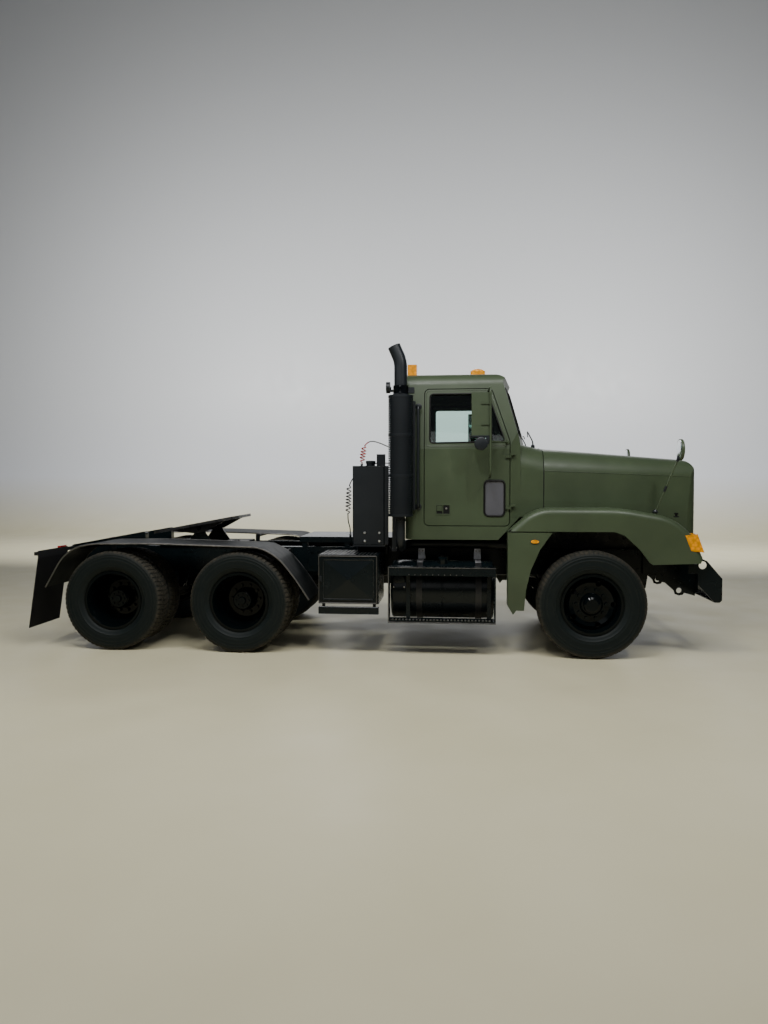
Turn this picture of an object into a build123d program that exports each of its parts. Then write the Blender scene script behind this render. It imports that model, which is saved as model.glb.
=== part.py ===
from build123d import *
import math
import os

# A three-axle, day-cab truck tractor, in millimetres. X runs forward, Y to the
# vehicle's left and Z up; the origin is on the ground under the middle of the vehicle.
# "Right" is the side of negative Y, and right-hand pieces are mirrored for the left.

os.makedirs("parts", exist_ok=True)

# Driving dimensions
FRONT_AXLE_X = 2230
MIDDLE_AXLE_X = FRONT_AXLE_X - 3490
REAR_AXLE_X = MIDDLE_AXLE_X - 1320

FRONT_TYRE_RADIUS = 527
FRONT_TYRE_WIDTH = 280
FRONT_WHEEL_Y = 1040
REAR_TYRE_RADIUS = 510
REAR_TYRE_WIDTH = 285
OUTER_TYRE_Y = 1078
INNER_TYRE_Y = 748
RIM_SEAT_RADIUS = 286
RIM_FLANGE_RADIUS = 299

RAIL_HALF_WIDTH = 432
RAIL_TOP = 1010
RAIL_BOTTOM = 740
RAIL_FLANGE = 88
RAIL_THICKNESS = 10
RAIL_REAR_X = -3400
RAIL_FRONT_X = FRONT_AXLE_X + 835

KINGPIN_Y = 860
TIE_ROD_X = FRONT_AXLE_X - 190

CAB_WALL = 50
DOOR_GAP = 8
CAB_REAR_X = 400
COWL_FRONT_X = 1780
CAB_BOTTOM = 1143
CAB_HALF_WIDTH = 1000
ROOF_SEAM_Z = 2662
DOOR_HINGE_X = 1447
DOOR_HINGE_Y = 1018

HOOD_WALL = 14
HOOD_REAR_X = 1788
HOOD_PIVOT_X = 3350
HOOD_PIVOT_Z = 925
FENDER_HALF_WIDTH = 1175
FENDER_EDGE_RADIUS = 60

DECK_TOP = 1121
COUPLER_PIVOT_X = -1950
COUPLER_PIVOT_Z = 1200
COUPLER_REST_ANGLE = 10.7
KINGPIN_JAW_RADIUS = 25.6


def keep(piece, name):
    """Labels a finished piece and writes it to its own file."""
    piece.part.label = name
    export_step(piece.part, f"parts/{name}.step")


def keep_pair(right_piece, name):
    """Writes a right-hand piece and its mirror image for the left."""
    keep(right_piece, name + "_right")
    with BuildPart() as left_piece:
        mirror(right_piece.part, about=Plane.XZ)
    keep(left_piece, name + "_left")


def keep_together(name, *pieces):
    """Writes several pieces of one body as one node."""
    with BuildPart() as node:
        for piece in pieces:
            add(piece.part)
    keep(node, name)


def both_sides(right_piece):
    """One node that holds a right-hand piece and its mirror image."""
    with BuildPart() as pair:
        add(right_piece.part)
        mirror(right_piece.part, about=Plane.XZ)
    return pair


def block(x_range, y_range, z_range, mode=Mode.ADD):
    """A box between two limits on each axis, added to the piece being built."""
    sizes = [high - low for low, high in (x_range, y_range, z_range)]
    middle = [(high + low) / 2 for low, high in (x_range, y_range, z_range)]
    with Locations(tuple(middle)):
        Box(*sizes, mode=mode)


def rod(start, end, radius, mode=Mode.ADD):
    """A round bar between two points, added to the piece being built."""
    along = Vector(*end) - Vector(*start)
    with BuildSketch(Plane(origin=start, z_dir=along)) as section:
        Circle(radius)
    extrude(section.sketch, amount=along.length, mode=mode)


def slab(outline, y_range, mode=Mode.ADD):
    """A plate seen from the side: an XZ outline between two values of Y."""
    with BuildSketch(Plane.XZ.offset(-y_range[1])) as section:
        with BuildLine():
            Polyline(*outline, close=True)
        make_face()
    extrude(section.sketch, amount=y_range[1] - y_range[0], mode=mode)


# Chassis: two channel rails, open sides inward
with BuildPart() as rail:
    with BuildSketch(Plane.YZ.offset(RAIL_REAR_X)):
        with BuildLine():
            outer_y, inner_y = -RAIL_HALF_WIDTH, -RAIL_HALF_WIDTH + RAIL_FLANGE
            web_y = outer_y + RAIL_THICKNESS
            Polyline(
                (outer_y, RAIL_BOTTOM),
                (inner_y, RAIL_BOTTOM),
                (inner_y, RAIL_BOTTOM + RAIL_THICKNESS),
                (web_y, RAIL_BOTTOM + RAIL_THICKNESS),
                (web_y, RAIL_TOP - RAIL_THICKNESS),
                (inner_y, RAIL_TOP - RAIL_THICKNESS),
                (inner_y, RAIL_TOP),
                (outer_y, RAIL_TOP),
                close=True,
            )
        make_face()
    extrude(amount=RAIL_FRONT_X - RAIL_REAR_X)
keep_pair(rail, "frame_rail")

# Crossmembers: (centre X, length along X, centre height, height)
WEB_GAP = RAIL_HALF_WIDTH - RAIL_THICKNESS
CROSSMEMBERS = (
    (RAIL_REAR_X + 40, 60, 875, 200),
    (REAR_AXLE_X - 420, 90, 875, 180),
    ((MIDDLE_AXLE_X + REAR_AXLE_X) / 2, 110, 875, 200),
    (MIDDLE_AXLE_X + 520, 90, 875, 180),
    (FRONT_AXLE_X - 1650, 90, 920, 110),
    (RAIL_FRONT_X - 15, 140, 791, 78),
)
with BuildPart() as crossmembers:
    for centre_x, length, centre_z, height in CROSSMEMBERS:
        with BuildSketch(Plane.XZ.offset(-WEB_GAP)):
            with Locations((centre_x, centre_z)):
                Rectangle(length, height)
                with Locations((12, 0)):
                    Rectangle(length - 12, height - 24, mode=Mode.SUBTRACT)
        extrude(amount=2 * WEB_GAP)


# Wheels and tyres. Profiles are drawn as (distance outboard, radius) on the right-hand side.
def axle_plane(axle_x, hub_z):
    """A sketch plane whose X runs outboard to the right and whose Y is the radius."""
    return Plane(origin=(axle_x, 0, hub_z), x_dir=(0, -1, 0), z_dir=(1, 0, 0))


def tyre_profile(centre, radius, width):
    """The closed outline of one tyre in its axle plane."""
    half = width / 2
    tread = half - 22
    with BuildLine() as outline:
        Line((centre - tread, radius), (centre + tread, radius))
        ThreePointArc(
            (centre + tread, radius),
            (centre + half - 8, radius - 16),
            (centre + half - 2, radius - 40),
        )
        ThreePointArc(
            (centre + half - 2, radius - 40),
            (centre + half, (radius + RIM_SEAT_RADIUS) / 2 + 10),
            (centre + 118, RIM_FLANGE_RADIUS + 14),
        )
        Polyline(
            (centre + 118, RIM_FLANGE_RADIUS + 14),
            (centre + 98, RIM_FLANGE_RADIUS + 2),
            (centre + 96.5, RIM_SEAT_RADIUS + 1),
        )
        mirror(about=Plane.YZ.offset(centre))
        Line((centre - 96.5, RIM_SEAT_RADIUS + 1), (centre + 96.5, RIM_SEAT_RADIUS + 1))
    return outline.wires()[0]


def make_tyres(axle_x, hub_z, centres, radius, width):
    """The tyres of one hub as one piece, each a closed ring."""
    plane = axle_plane(axle_x, hub_z)
    with BuildPart() as tyres:
        for centre in centres:
            with BuildSketch(plane):
                make_face(tyre_profile(centre, radius, width).edges())
            revolve(axis=Axis((axle_x, 0, hub_z), (0, 1, 0)))
    return tyres


RIM_HALF = 112
RIM_BARREL_RADIUS = 274
DISC_THICKNESS = 14
STUD_CIRCLE_RADIUS = 142.9
HAND_HOLES = 5


def rim_outline(centre, disc_at):
    """Corners of a drop-centre rim joined to its disc, whose outboard face is at disc_at."""
    back = disc_at - DISC_THICKNESS
    return (
        (centre - RIM_HALF, RIM_FLANGE_RADIUS),
        (centre - RIM_HALF + 12, RIM_FLANGE_RADIUS),
        (centre - RIM_HALF + 14, RIM_SEAT_RADIUS),
        (centre - 60, RIM_SEAT_RADIUS - 4),
        (centre - 44, RIM_SEAT_RADIUS - 22),
        (centre + 44, RIM_SEAT_RADIUS - 22),
        (centre + 60, RIM_SEAT_RADIUS - 4),
        (centre + RIM_HALF - 14, RIM_SEAT_RADIUS),
        (centre + RIM_HALF - 12, RIM_FLANGE_RADIUS),
        (centre + RIM_HALF, RIM_FLANGE_RADIUS),
        (centre + RIM_HALF, RIM_BARREL_RADIUS),
        (centre + 50, RIM_BARREL_RADIUS - 22),
        (centre - 50, RIM_BARREL_RADIUS - 22),
        (centre - RIM_HALF, RIM_BARREL_RADIUS),
    )


def add_ring(plane, axle_x, hub_z, corners):
    """Adds a body of revolution about the axle from its profile's corners."""
    with BuildSketch(plane) as section:
        with BuildLine():
            Polyline(*corners, close=True)
        make_face()
    revolve(section.sketch, axis=Axis((axle_x, 0, hub_z), (0, 1, 0)))


def make_front_wheel():
    """The right front wheel: rim, dished disc, hub, oil cap and brake drum, about a hollow centre."""
    hub_z = FRONT_TYRE_RADIUS
    plane = axle_plane(FRONT_AXLE_X, hub_z)
    centre = FRONT_WHEEL_Y
    face = centre + 44
    with BuildPart() as wheel:
        add_ring(plane, FRONT_AXLE_X, hub_z, rim_outline(centre, face))
        # disc from the rim's inside to the hub, with a raised shoulder
        add_ring(plane, FRONT_AXLE_X, hub_z, (
            (centre + 8, 262), (centre + 24, 262), (face + 12, 215), (face, 176),
            (face, 60), (face - 14, 60), (face - 14, 180), (face - 4, 212),
        ))
        # hub barrel and oil cap, bored for the spindle
        add_ring(plane, FRONT_AXLE_X, hub_z, (
            (centre - 95, 50), (centre - 95, 92), (face - 14, 112), (face, 112),
            (face + 18, 96), (face + 20, 82), (face + 58, 76), (face + 70, 58),
            (face + 70, 0), (face + 52, 0), (face + 52, 50),
        ))
        # brake drum, a cup open inboard
        add_ring(plane, FRONT_AXLE_X, hub_z, (
            (centre - 150, 208), (centre - 150, 228), (face - 50, 226), (face - 14, 150),
            (face - 14, 100), (face - 30, 100), (face - 30, 140), (face - 60, 208),
        ))
        with BuildSketch(Plane.XZ.offset(face + 60)):
            with Locations((FRONT_AXLE_X, hub_z)):
                with PolarLocations(212, HAND_HOLES):
                    Circle(27)
        extrude(amount=-62 - 12, mode=Mode.SUBTRACT)
        with BuildSketch(Plane.XZ.offset(face - 2)):
            with Locations((FRONT_AXLE_X, hub_z)):
                with PolarLocations(STUD_CIRCLE_RADIUS, 10):
                    RegularPolygon(19, 6)
        extrude(amount=26)
    return wheel


def make_dual_wheel(axle_x):
    """A right rear wheel pair: two rims back to back on one hub with its brake drum."""
    hub_z = REAR_TYRE_RADIUS
    plane = axle_plane(axle_x, hub_z)
    joint_face = (OUTER_TYRE_Y + INNER_TYRE_Y) / 2
    with BuildPart() as wheel:
        for centre, side in ((OUTER_TYRE_Y, 1), (INNER_TYRE_Y, -1)):
            add_ring(plane, axle_x, hub_z, rim_outline(centre, joint_face))
            add_ring(plane, axle_x, hub_z, (
                (joint_face, 100), (joint_face, 190),
                (joint_face + side * 22, 225), (joint_face + side * 62, 258),
                (joint_face + side * 118, 262), (joint_face + side * 118, 246),
                (joint_face + side * 74, 244), (joint_face + side * 36, 214),
                (joint_face + side * 14, 184), (joint_face + side * 14, 100),
            ))
        add_ring(plane, axle_x, hub_z, (
            (joint_face - 150, 72), (joint_face - 150, 104), (joint_face - 14, 118),
            (joint_face + 14, 118), (joint_face + 60, 108), (joint_face + 128, 102),
            (joint_face + 132, 96), (joint_face + 150, 96), (joint_face + 156, 88),
            (joint_face + 156, 40), (joint_face + 176, 34), (joint_face + 176, 0),
            (joint_face + 132, 0), (joint_face + 132, 72),
        ))
        add_ring(plane, axle_x, hub_z, (
            (joint_face - 250, 208), (joint_face - 250, 228), (joint_face - 60, 226),
            (joint_face - 14, 160), (joint_face - 14, 110), (joint_face - 34, 110),
            (joint_face - 34, 150), (joint_face - 70, 208),
        ))
        with BuildSketch(Plane.XZ.offset(joint_face + 12)):
            with Locations((axle_x, hub_z)):
                with PolarLocations(STUD_CIRCLE_RADIUS, 10):
                    RegularPolygon(19, 6)
        extrude(amount=30)
        with BuildSketch(Plane.XZ.offset(joint_face + 154)):
            with Locations((axle_x, hub_z)):
                with PolarLocations(66, 8):
                    RegularPolygon(12, 6)
        extrude(amount=14)
    return wheel


front_wheel = make_front_wheel()
keep_pair(front_wheel, "front_wheel")
front_tyre = make_tyres(
    FRONT_AXLE_X, FRONT_TYRE_RADIUS, (FRONT_WHEEL_Y,), FRONT_TYRE_RADIUS, FRONT_TYRE_WIDTH
)
keep_pair(front_tyre, "front_tyre")
for position, axle_x in (("middle", MIDDLE_AXLE_X), ("rear", REAR_AXLE_X)):
    keep_pair(make_dual_wheel(axle_x), position + "_wheel")
    keep_pair(
        make_tyres(
            axle_x,
            REAR_TYRE_RADIUS,
            (OUTER_TYRE_Y, INNER_TYRE_Y),
            REAR_TYRE_RADIUS,
            REAR_TYRE_WIDTH,
        ),
        position + "_tyres",
    )


# Front axle: forged beam on two leaf springs, kingpin bosses at its ends
with BuildPart() as front_axle_beam:
    beam_x = FRONT_AXLE_X
    with BuildSketch(Plane.YZ.offset(beam_x - 38)) as web:
        with BuildLine():
            Polyline(
                (0, 405), (-560, 405), (-720, 455), (-KINGPIN_Y, 455),
                (-KINGPIN_Y, 575), (-720, 575), (-560, 520), (0, 520), close=True,
            )
        make_face()
        mirror(about=Plane.YZ)
    extrude(web.sketch, amount=76)
    for side in (-1, 1):
        rod((beam_x, side * KINGPIN_Y, 447), (beam_x, side * KINGPIN_Y, 597), 46)
        rod((beam_x, side * KINGPIN_Y, 440), (beam_x, side * KINGPIN_Y, 604), 22, Mode.SUBTRACT)

SPRING_Y = 388
with BuildPart() as front_spring:
    for half_length, low in ((640, 0), (500, -12), (380, -24), (250, -36)):
        with BuildSketch(Plane.XZ.offset(SPRING_Y - 40)) as leaf:
            with BuildLine():
                rise = 55 * (half_length / 640) ** 2
                base = 565 + low
                ThreePointArc(
                    (beam_x - half_length, base + rise), (beam_x, base), (beam_x + half_length, base + rise)
                )
                Line((beam_x + half_length, base + rise), (beam_x + half_length, base + rise + 12))
                ThreePointArc(
                    (beam_x + half_length, base + rise + 12),
                    (beam_x, base + 12),
                    (beam_x - half_length, base + rise + 12),
                )
                Line((beam_x - half_length, base + rise + 12), (beam_x - half_length, base + rise))
            make_face()
        extrude(leaf.sketch, amount=80)
    # spring seat on the beam, top plate, and the hangers up to the rail
    block((beam_x - 70, beam_x + 70), (-SPRING_Y - 40, -SPRING_Y + 40), (520, 530))
    block((beam_x - 90, beam_x + 90), (-SPRING_Y - 44, -SPRING_Y + 44), (574, 610))
    for end in (-1, 1):
        slab(
            (
                (beam_x + end * 610, 600), (beam_x + end * 670, 600),
                (beam_x + end * 690, RAIL_BOTTOM), (beam_x + end * 560, RAIL_BOTTOM),
            ),
            (-SPRING_Y - 44, -SPRING_Y + 44),
        )
keep_together("front_axle", front_axle_beam, both_sides(front_spring))

# Steering knuckle: a fork on the kingpin, spindle outboard, arm straight back
with BuildPart() as knuckle:
    pin_y = -KINGPIN_Y
    rod((beam_x, pin_y, 398), (beam_x, pin_y, 646), 18)
    for low, high in ((403, 441), (603, 641)):
        rod((beam_x, pin_y, low), (beam_x, pin_y, high), 46)
        block((beam_x - 40, beam_x + 40), (pin_y - 78, pin_y), (low, high))
    block((beam_x - 55, beam_x + 55), (pin_y - 78, pin_y - 50), (403, 641))
    rod((beam_x, pin_y - 76, FRONT_TYRE_RADIUS), (beam_x, -FRONT_WHEEL_Y - 60, FRONT_TYRE_RADIUS), 43)
    block((TIE_ROD_X - 5, beam_x), (pin_y - 22, pin_y + 22), (403, 431))
    rod((TIE_ROD_X, pin_y, 403), (TIE_ROD_X, pin_y, 431), 27)
    rod((TIE_ROD_X, pin_y, 400), (TIE_ROD_X, pin_y, 435), 11, Mode.SUBTRACT)
keep_pair(knuckle, "steering_knuckle")

with BuildPart() as tie_rod:
    rod((TIE_ROD_X, -KINGPIN_Y + 24, 372), (TIE_ROD_X, KINGPIN_Y - 24, 372), 16)
    for side in (-1, 1):
        rod((TIE_ROD_X, side * KINGPIN_Y, 350), (TIE_ROD_X, side * KINGPIN_Y, 398), 28)
        rod((TIE_ROD_X, side * KINGPIN_Y, 360), (TIE_ROD_X, side * KINGPIN_Y, 428), 9.5)
keep(tie_rod, "tie_rod")

# Drive axles: a round tube with the differential bowl in its middle
AXLE_TUBE_RADIUS = 64


def make_drive_axle(axle_x):
    """One drive axle housing from spindle end to spindle end."""
    axle_z = REAR_TYRE_RADIUS
    with BuildPart() as housing:
        rod((axle_x, -1040, axle_z), (axle_x, 1040, axle_z), AXLE_TUBE_RADIUS)
        with Locations((axle_x, 0, axle_z)):
            Cylinder(215, 190, rotation=(0, 90, 0))
            Cone(190, 110, 130, rotation=(0, 90, 0), align=(Align.CENTER, Align.CENTER, Align.MIN))
        block((axle_x - 95, axle_x + 95), (-420, 420), (axle_z - 78, axle_z + 78))
        rod((axle_x + 100, 0, axle_z + 50), (axle_x + 330, 0, axle_z + 50), 62)
        rod((axle_x - 300, 0, axle_z + 50), (axle_x - 90, 0, axle_z + 50), 58)
        for side in (-1, 1):
            rod((axle_x, side * 640, axle_z), (axle_x, side * 655, axle_z), 196)
    return housing



# Air suspension: on each side a hanger, a trailing arm over the axle and an air spring
ARM_Y = 480
AIR_SPRING_Y = 468
SPRING_X_BACK = 362


def make_suspension(axle_x):
    """The right-hand suspension of one drive axle, hanger to air spring."""
    with BuildPart() as side_arm:
        slab(
            (
                (axle_x + 400, 900), (axle_x + 560, 900), (axle_x + 550, 760),
                (axle_x + 500, 560), (axle_x + 440, 560), (axle_x + 405, 760),
            ),
            (-ARM_Y + 38, -RAIL_HALF_WIDTH),
        )
        rod((axle_x + 470, -ARM_Y - 40, 600), (axle_x + 470, -RAIL_HALF_WIDTH, 600), 34)
        slab(
            (
                (axle_x + 470, 632), (axle_x + 120, 655), (axle_x - 130, 650),
                (axle_x - 225, 590), (axle_x - SPRING_X_BACK - 90, 590),
                (axle_x - SPRING_X_BACK - 90, 566), (axle_x - 230, 560),
                (axle_x - 130, 588), (axle_x + 120, 590), (axle_x + 470, 568),
            ),
            (-ARM_Y - 40, -ARM_Y + 36),
        )
        block((axle_x - 75, axle_x + 75), (-ARM_Y - 40, -ARM_Y + 36), (560, 600))
    return side_arm


def make_air_spring(axle_x):
    """One right-hand air spring with its upper plate on the rail's underside."""
    centre_x = axle_x - SPRING_X_BACK
    with BuildPart() as bellows:
        upright = Plane(origin=(centre_x, -AIR_SPRING_Y, 0), x_dir=(1, 0, 0), z_dir=(0, -1, 0))
        with BuildSketch(upright) as section:
            with BuildLine():
                Polyline((0, 590), (96, 590), (102, 612))
                ThreePointArc((102, 612), (126, 640), (110, 666))
                ThreePointArc((110, 666), (128, 694), (104, 722))
                Polyline((104, 722), (104, 728), (0, 728), (0, 590))
            make_face()
        revolve(section.sketch, axis=Axis((centre_x, -AIR_SPRING_Y, 0), (0, 0, 1)))
        block((centre_x - 90, centre_x + 90), (-AIR_SPRING_Y - 90, -RAIL_HALF_WIDTH + 60), (728, RAIL_BOTTOM))
    return bellows


keep_together(
    "drive_axles",
    make_drive_axle(MIDDLE_AXLE_X),
    make_drive_axle(REAR_AXLE_X),
    both_sides(make_suspension(MIDDLE_AXLE_X)),
    both_sides(make_suspension(REAR_AXLE_X)),
)
keep_together(
    "air_springs",
    both_sides(make_air_spring(MIDDLE_AXLE_X)),
    both_sides(make_air_spring(REAR_AXLE_X)),
)

# Drive line
with BuildPart() as transmission:
    with BuildSketch(Plane.YZ.offset(1795)) as bell:
        with Locations((0, 880)):
            Circle(235)
    with BuildSketch(Plane.YZ.offset(1480)) as gear_case:
        with Locations((0, 860)):
            RectangleRounded(360, 340, 60)
    extrude(gear_case.sketch, amount=-420)
    with BuildSketch(Plane.YZ.offset(1480)) as throat:
        with Locations((0, 870)):
            Circle(175)
    loft([throat.sketch.face(), bell.sketch.face()])
    rod((1060, 0, 830), (985, 0, 830), 80)

with BuildPart() as engine_block:
    block((1795, 2940), (-340, 340), (690, 1640))
    # mounting feet in the rails' channels
    for foot_x in (2120, 2740):
        block((foot_x, foot_x + 70), (-WEB_GAP, WEB_GAP), (840, 890))
keep(engine_block, "engine_block")

with BuildPart() as radiator:
    block((3080, 3170), (-410, 410), (830, 1790))
    block((3070, 3180), (-430, 430), (1790, 1840))
keep(radiator, "radiator")

with BuildPart() as front_shaft:
    rod((976, 0, 829), (MIDDLE_AXLE_X + 339, 0, 561), 55)
with BuildPart() as rear_shaft:
    rod((MIDDLE_AXLE_X - 300, 0, 560), (REAR_AXLE_X + 330, 0, 560), 50)
keep_together("driveline", transmission, front_shaft, rear_shaft)


# Hood and cowl share one tapering cross-section, straight between these two stations:
# (X, half width, crease half width, crease Z, shoulder half width, shoulder Z, crown Z)
HOOD_STATIONS = (
    (1788, 905, 890, 1833, 655, 2050, 2082),
    (3300, 606, 596, 1774, 430, 1938, 1960),
)
COWL_STATIONS = (
    (1440, 1000, 985, 1850, 800, 2130, 2160),
    (1788, 905, 890, 1833, 655, 2050, 2082),
)


def station(stations, x, inset):
    """The cross-section's sizes at X, on the straight line through two stations."""
    near, far = stations
    t = (x - near[0]) / (far[0] - near[0])
    values = [a + t * (b - a) for a, b in zip(near[1:], far[1:])]
    return [value - inset for value in values]


# How far the shoulder's arc stands off its chord, as a share of the chord: nearly a quarter round
SHOULDER_BULGE = 0.19


def bonnet_section(stations, x, bottom_z, inset):
    """One hood or cowl cross-section as a placed sketch."""
    half, crease_y, crease_z, shoulder_y, shoulder_z, crown_z = station(stations, x, inset)
    with BuildSketch(Plane.YZ.offset(x)) as section:
        with BuildLine():
            Polyline((0, bottom_z), (-half, bottom_z), (-half, crease_z - 300), (-crease_y, crease_z))
            inward, rise = crease_y - shoulder_y, shoulder_z - crease_z
            ThreePointArc(
                (-crease_y, crease_z),
                (
                    -(crease_y + shoulder_y) / 2 - SHOULDER_BULGE * rise,
                    (crease_z + shoulder_z) / 2 + SHOULDER_BULGE * inward,
                ),
                (-shoulder_y, shoulder_z),
            )
            ThreePointArc(
                (-shoulder_y, shoulder_z),
                (-shoulder_y / 2, shoulder_z * 0.27 + crown_z * 0.73),
                (0, crown_z),
            )
            mirror(about=Plane.YZ)
        make_face()
    return section.sketch.face()


# Cab: the outer form is a side profile, a plan and a cross-section run into one another
WINDSCREEN_VEE = 0.12


def cab_volume(inset):
    """The cab's outer form with its cowl, or with an inset the hollow inside it."""
    with BuildPart() as volume:
        # the side profile is swept back from the centre line, so the windscreen makes a shallow vee
        with BuildSketch(Plane.XZ) as side:
            with BuildLine():
                Polyline(
                    (1500, 2768), (1482, 2722), (1652, 2150), (1664, 2060),
                    (1664, 1374), (1449, 1143), (300, 1143), (300, 2792),
                )
                ThreePointArc((300, 2792), (1000, 2838), (1380, 2812))
                ThreePointArc((1380, 2812), (1440, 2800), (1500, 2768))
            make_face()
            if inset:
                offset(amount=-inset)
        extrude(side.sketch, amount=1150, dir=(-WINDSCREEN_VEE, -1, 0))
        mirror(volume.part, about=Plane.XZ)
        with BuildSketch(Plane.XY.offset(900)) as plan:
            with BuildLine():
                Polyline(
                    (COWL_FRONT_X, 0), (COWL_FRONT_X, -905), (1430, -CAB_HALF_WIDTH),
                    (CAB_REAR_X + 80, -CAB_HALF_WIDTH),
                )
                ThreePointArc(
                    (CAB_REAR_X + 80, -CAB_HALF_WIDTH),
                    (CAB_REAR_X + 24, -CAB_HALF_WIDTH + 24),
                    (CAB_REAR_X, -CAB_HALF_WIDTH + 80),
                )
                Line((CAB_REAR_X, -CAB_HALF_WIDTH + 80), (CAB_REAR_X, 0))
                mirror(about=Plane.XZ)
            make_face()
            if inset:
                offset(amount=-inset)
        extrude(plan.sketch, amount=2200, mode=Mode.INTERSECT)
        with BuildSketch(Plane.YZ.offset(300)) as section:
            with BuildLine():
                Polyline(
                    (0, CAB_BOTTOM), (-CAB_HALF_WIDTH, CAB_BOTTOM),
                    (-CAB_HALF_WIDTH, 2050), (-908, 2690),
                )
                ThreePointArc((-908, 2690), (-870, 2772), (-790, 2812))
                ThreePointArc((-790, 2812), (-400, 2852), (0, 2862))
                mirror(about=Plane.YZ)
            make_face()
            if inset:
                offset(amount=-inset)
        extrude(section.sketch, amount=1700, mode=Mode.INTERSECT)
        loft([
            bonnet_section(COWL_STATIONS, 1440, 1374 + inset, inset),
            bonnet_section(COWL_STATIONS, COWL_FRONT_X - inset, 1374 + inset, inset),
        ])
    return volume


cab_outer = cab_volume(0)
cab_inner = cab_volume(CAB_WALL)

# Door outline and window openings in side view
DOOR_CORNERS = ((597, 1286), (1439, 1286), (1439, 2121), (1259, 2650), (597, 2650))
DOOR_WINDOW = ((648, 2110), (1392, 2122), (1224, 2604), (648, 2604))


def side_prism(corners, grow, radius, y_range):
    """A rounded XZ outline between two values of Y."""
    with BuildPart() as prism:
        with BuildSketch(Plane.XZ.offset(-y_range[1])) as outline:
            with BuildLine():
                Polyline(*corners, close=True)
            make_face()
            fillet(outline.vertices(), radius=radius)
            if grow:
                offset(amount=grow)
        extrude(outline.sketch, amount=y_range[1] - y_range[0])
    return prism


def make_door(with_peep_window):
    """A right-hand door cut from the cab shell, with its window opening."""
    outline = side_prism(DOOR_CORNERS, 0, 45, (-1100, -700))
    window = side_prism(DOOR_WINDOW, 0, 38, (-1100, -700))
    with BuildPart() as door:
        add(cab_outer.part)
        add(cab_inner.part, mode=Mode.SUBTRACT)
        add(outline.part, mode=Mode.INTERSECT)
        add(window.part, mode=Mode.SUBTRACT)
        if with_peep_window:
            peep = side_prism(PEEP_WINDOW, 0, 55, (-1100, -700))
            add(peep.part, mode=Mode.SUBTRACT)
        # hinge knuckles on the vertical axis just outside the skin
        for low in DOOR_HINGES:
            rod(
                (DOOR_HINGE_X, -DOOR_HINGE_Y, low), (DOOR_HINGE_X, -DOOR_HINGE_Y, low + 26), 8
            )
            block(
                (DOOR_HINGE_X - 46, DOOR_HINGE_X), (-DOOR_HINGE_Y - 2, -CAB_HALF_WIDTH + 6),
                (low, low + 26),
            )
    return door


PEEP_WINDOW = ((1192, 1383), (1391, 1383), (1391, 1735), (1192, 1735))
DOOR_HINGES = (1450, 1960)


def door_glass(corners, radius):
    """Thin glass in the middle of the door's thickness, touching the opening's edge."""
    glass_outer = cab_volume(20)
    glass_inner = cab_volume(26)
    prism = side_prism(corners, 0, radius, (-1100, -700))
    with BuildPart() as pane:
        add(glass_outer.part)
        add(glass_inner.part, mode=Mode.SUBTRACT)
        add(prism.part, mode=Mode.INTERSECT)
    return pane


right_door = make_door(True)
with BuildPart() as left_door:
    mirror(make_door(False).part, about=Plane.XZ)
door_pane = door_glass(DOOR_WINDOW, 38)
keep_together("door_glass_right", door_pane, door_glass(PEEP_WINDOW, 55))
with BuildPart() as left_pane:
    mirror(door_pane.part, about=Plane.XZ)
keep(left_pane, "door_glass_left")

# Windscreen panes lie in two planes that meet at the centre post
SCREEN_BASE = Vector(1652, 0, 2150)
SCREEN_ACROSS = Vector(-WINDSCREEN_VEE, -1, 0)
SCREEN_UP = Vector(1482 - 1652, 0, 2722 - 2150)
screen_plane = Plane(
    origin=SCREEN_BASE, x_dir=SCREEN_ACROSS, z_dir=SCREEN_ACROSS.cross(SCREEN_UP)
)
SCREEN_CORNERS = ((38, 50), (868, 50), (806, 548), (38, 548))


def screen_pane(depth_range):
    """A rounded pane on the right half of the windscreen, between two depths below its face."""
    with BuildPart() as pane:
        with BuildSketch(screen_plane.offset(depth_range[0])) as outline:
            with BuildLine():
                Polyline(*SCREEN_CORNERS, close=True)
            make_face()
            fillet(outline.vertices(), radius=45)
        extrude(outline.sketch, amount=depth_range[1] - depth_range[0])
    return pane


screen_hole = both_sides(screen_pane((-120, 120)))
screen_glass = both_sides(screen_pane((18, 24)))

# Body pieces cut from one shell
with BuildPart() as cab_shell:
    add(cab_outer.part)
    add(cab_inner.part, mode=Mode.SUBTRACT)
    for y_range in ((-1100, -700), (700, 1100)):
        add(side_prism(DOOR_CORNERS, DOOR_GAP, 45, y_range).part, mode=Mode.SUBTRACT)
    add(screen_hole.part, mode=Mode.SUBTRACT)
    # rear window
    with BuildSketch(Plane.YZ.offset(300)) as rear_window:
        with Locations((0, 2330)):
            RectangleRounded(900, 420, 60)
    extrude(rear_window.sketch, amount=200, mode=Mode.SUBTRACT)

with BuildPart() as cab_roof:
    add(cab_shell.part)
    block((0, 2200), (-1200, 1200), (ROOF_SEAM_Z, 3000), mode=Mode.INTERSECT)
keep(cab_roof, "cab_roof")

with BuildPart() as cab_rear_wall:
    add(cab_shell.part)
    block((0, CAB_REAR_X + CAB_WALL), (-860, 860), (1250, ROOF_SEAM_Z), mode=Mode.INTERSECT)
    # glands of the two air lines
    for gland_y, gland_z in ((-550, 2050), (-446, 1900)):
        rod((CAB_REAR_X + 4, gland_y, gland_z), (CAB_REAR_X - 16, gland_y, gland_z), 14)
keep(cab_rear_wall, "cab_rear_wall")

with BuildPart() as cab_floor:
    add(cab_shell.part)
    block((500, 1450), (-900, 900), (1000, CAB_BOTTOM + CAB_WALL), mode=Mode.INTERSECT)

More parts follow.
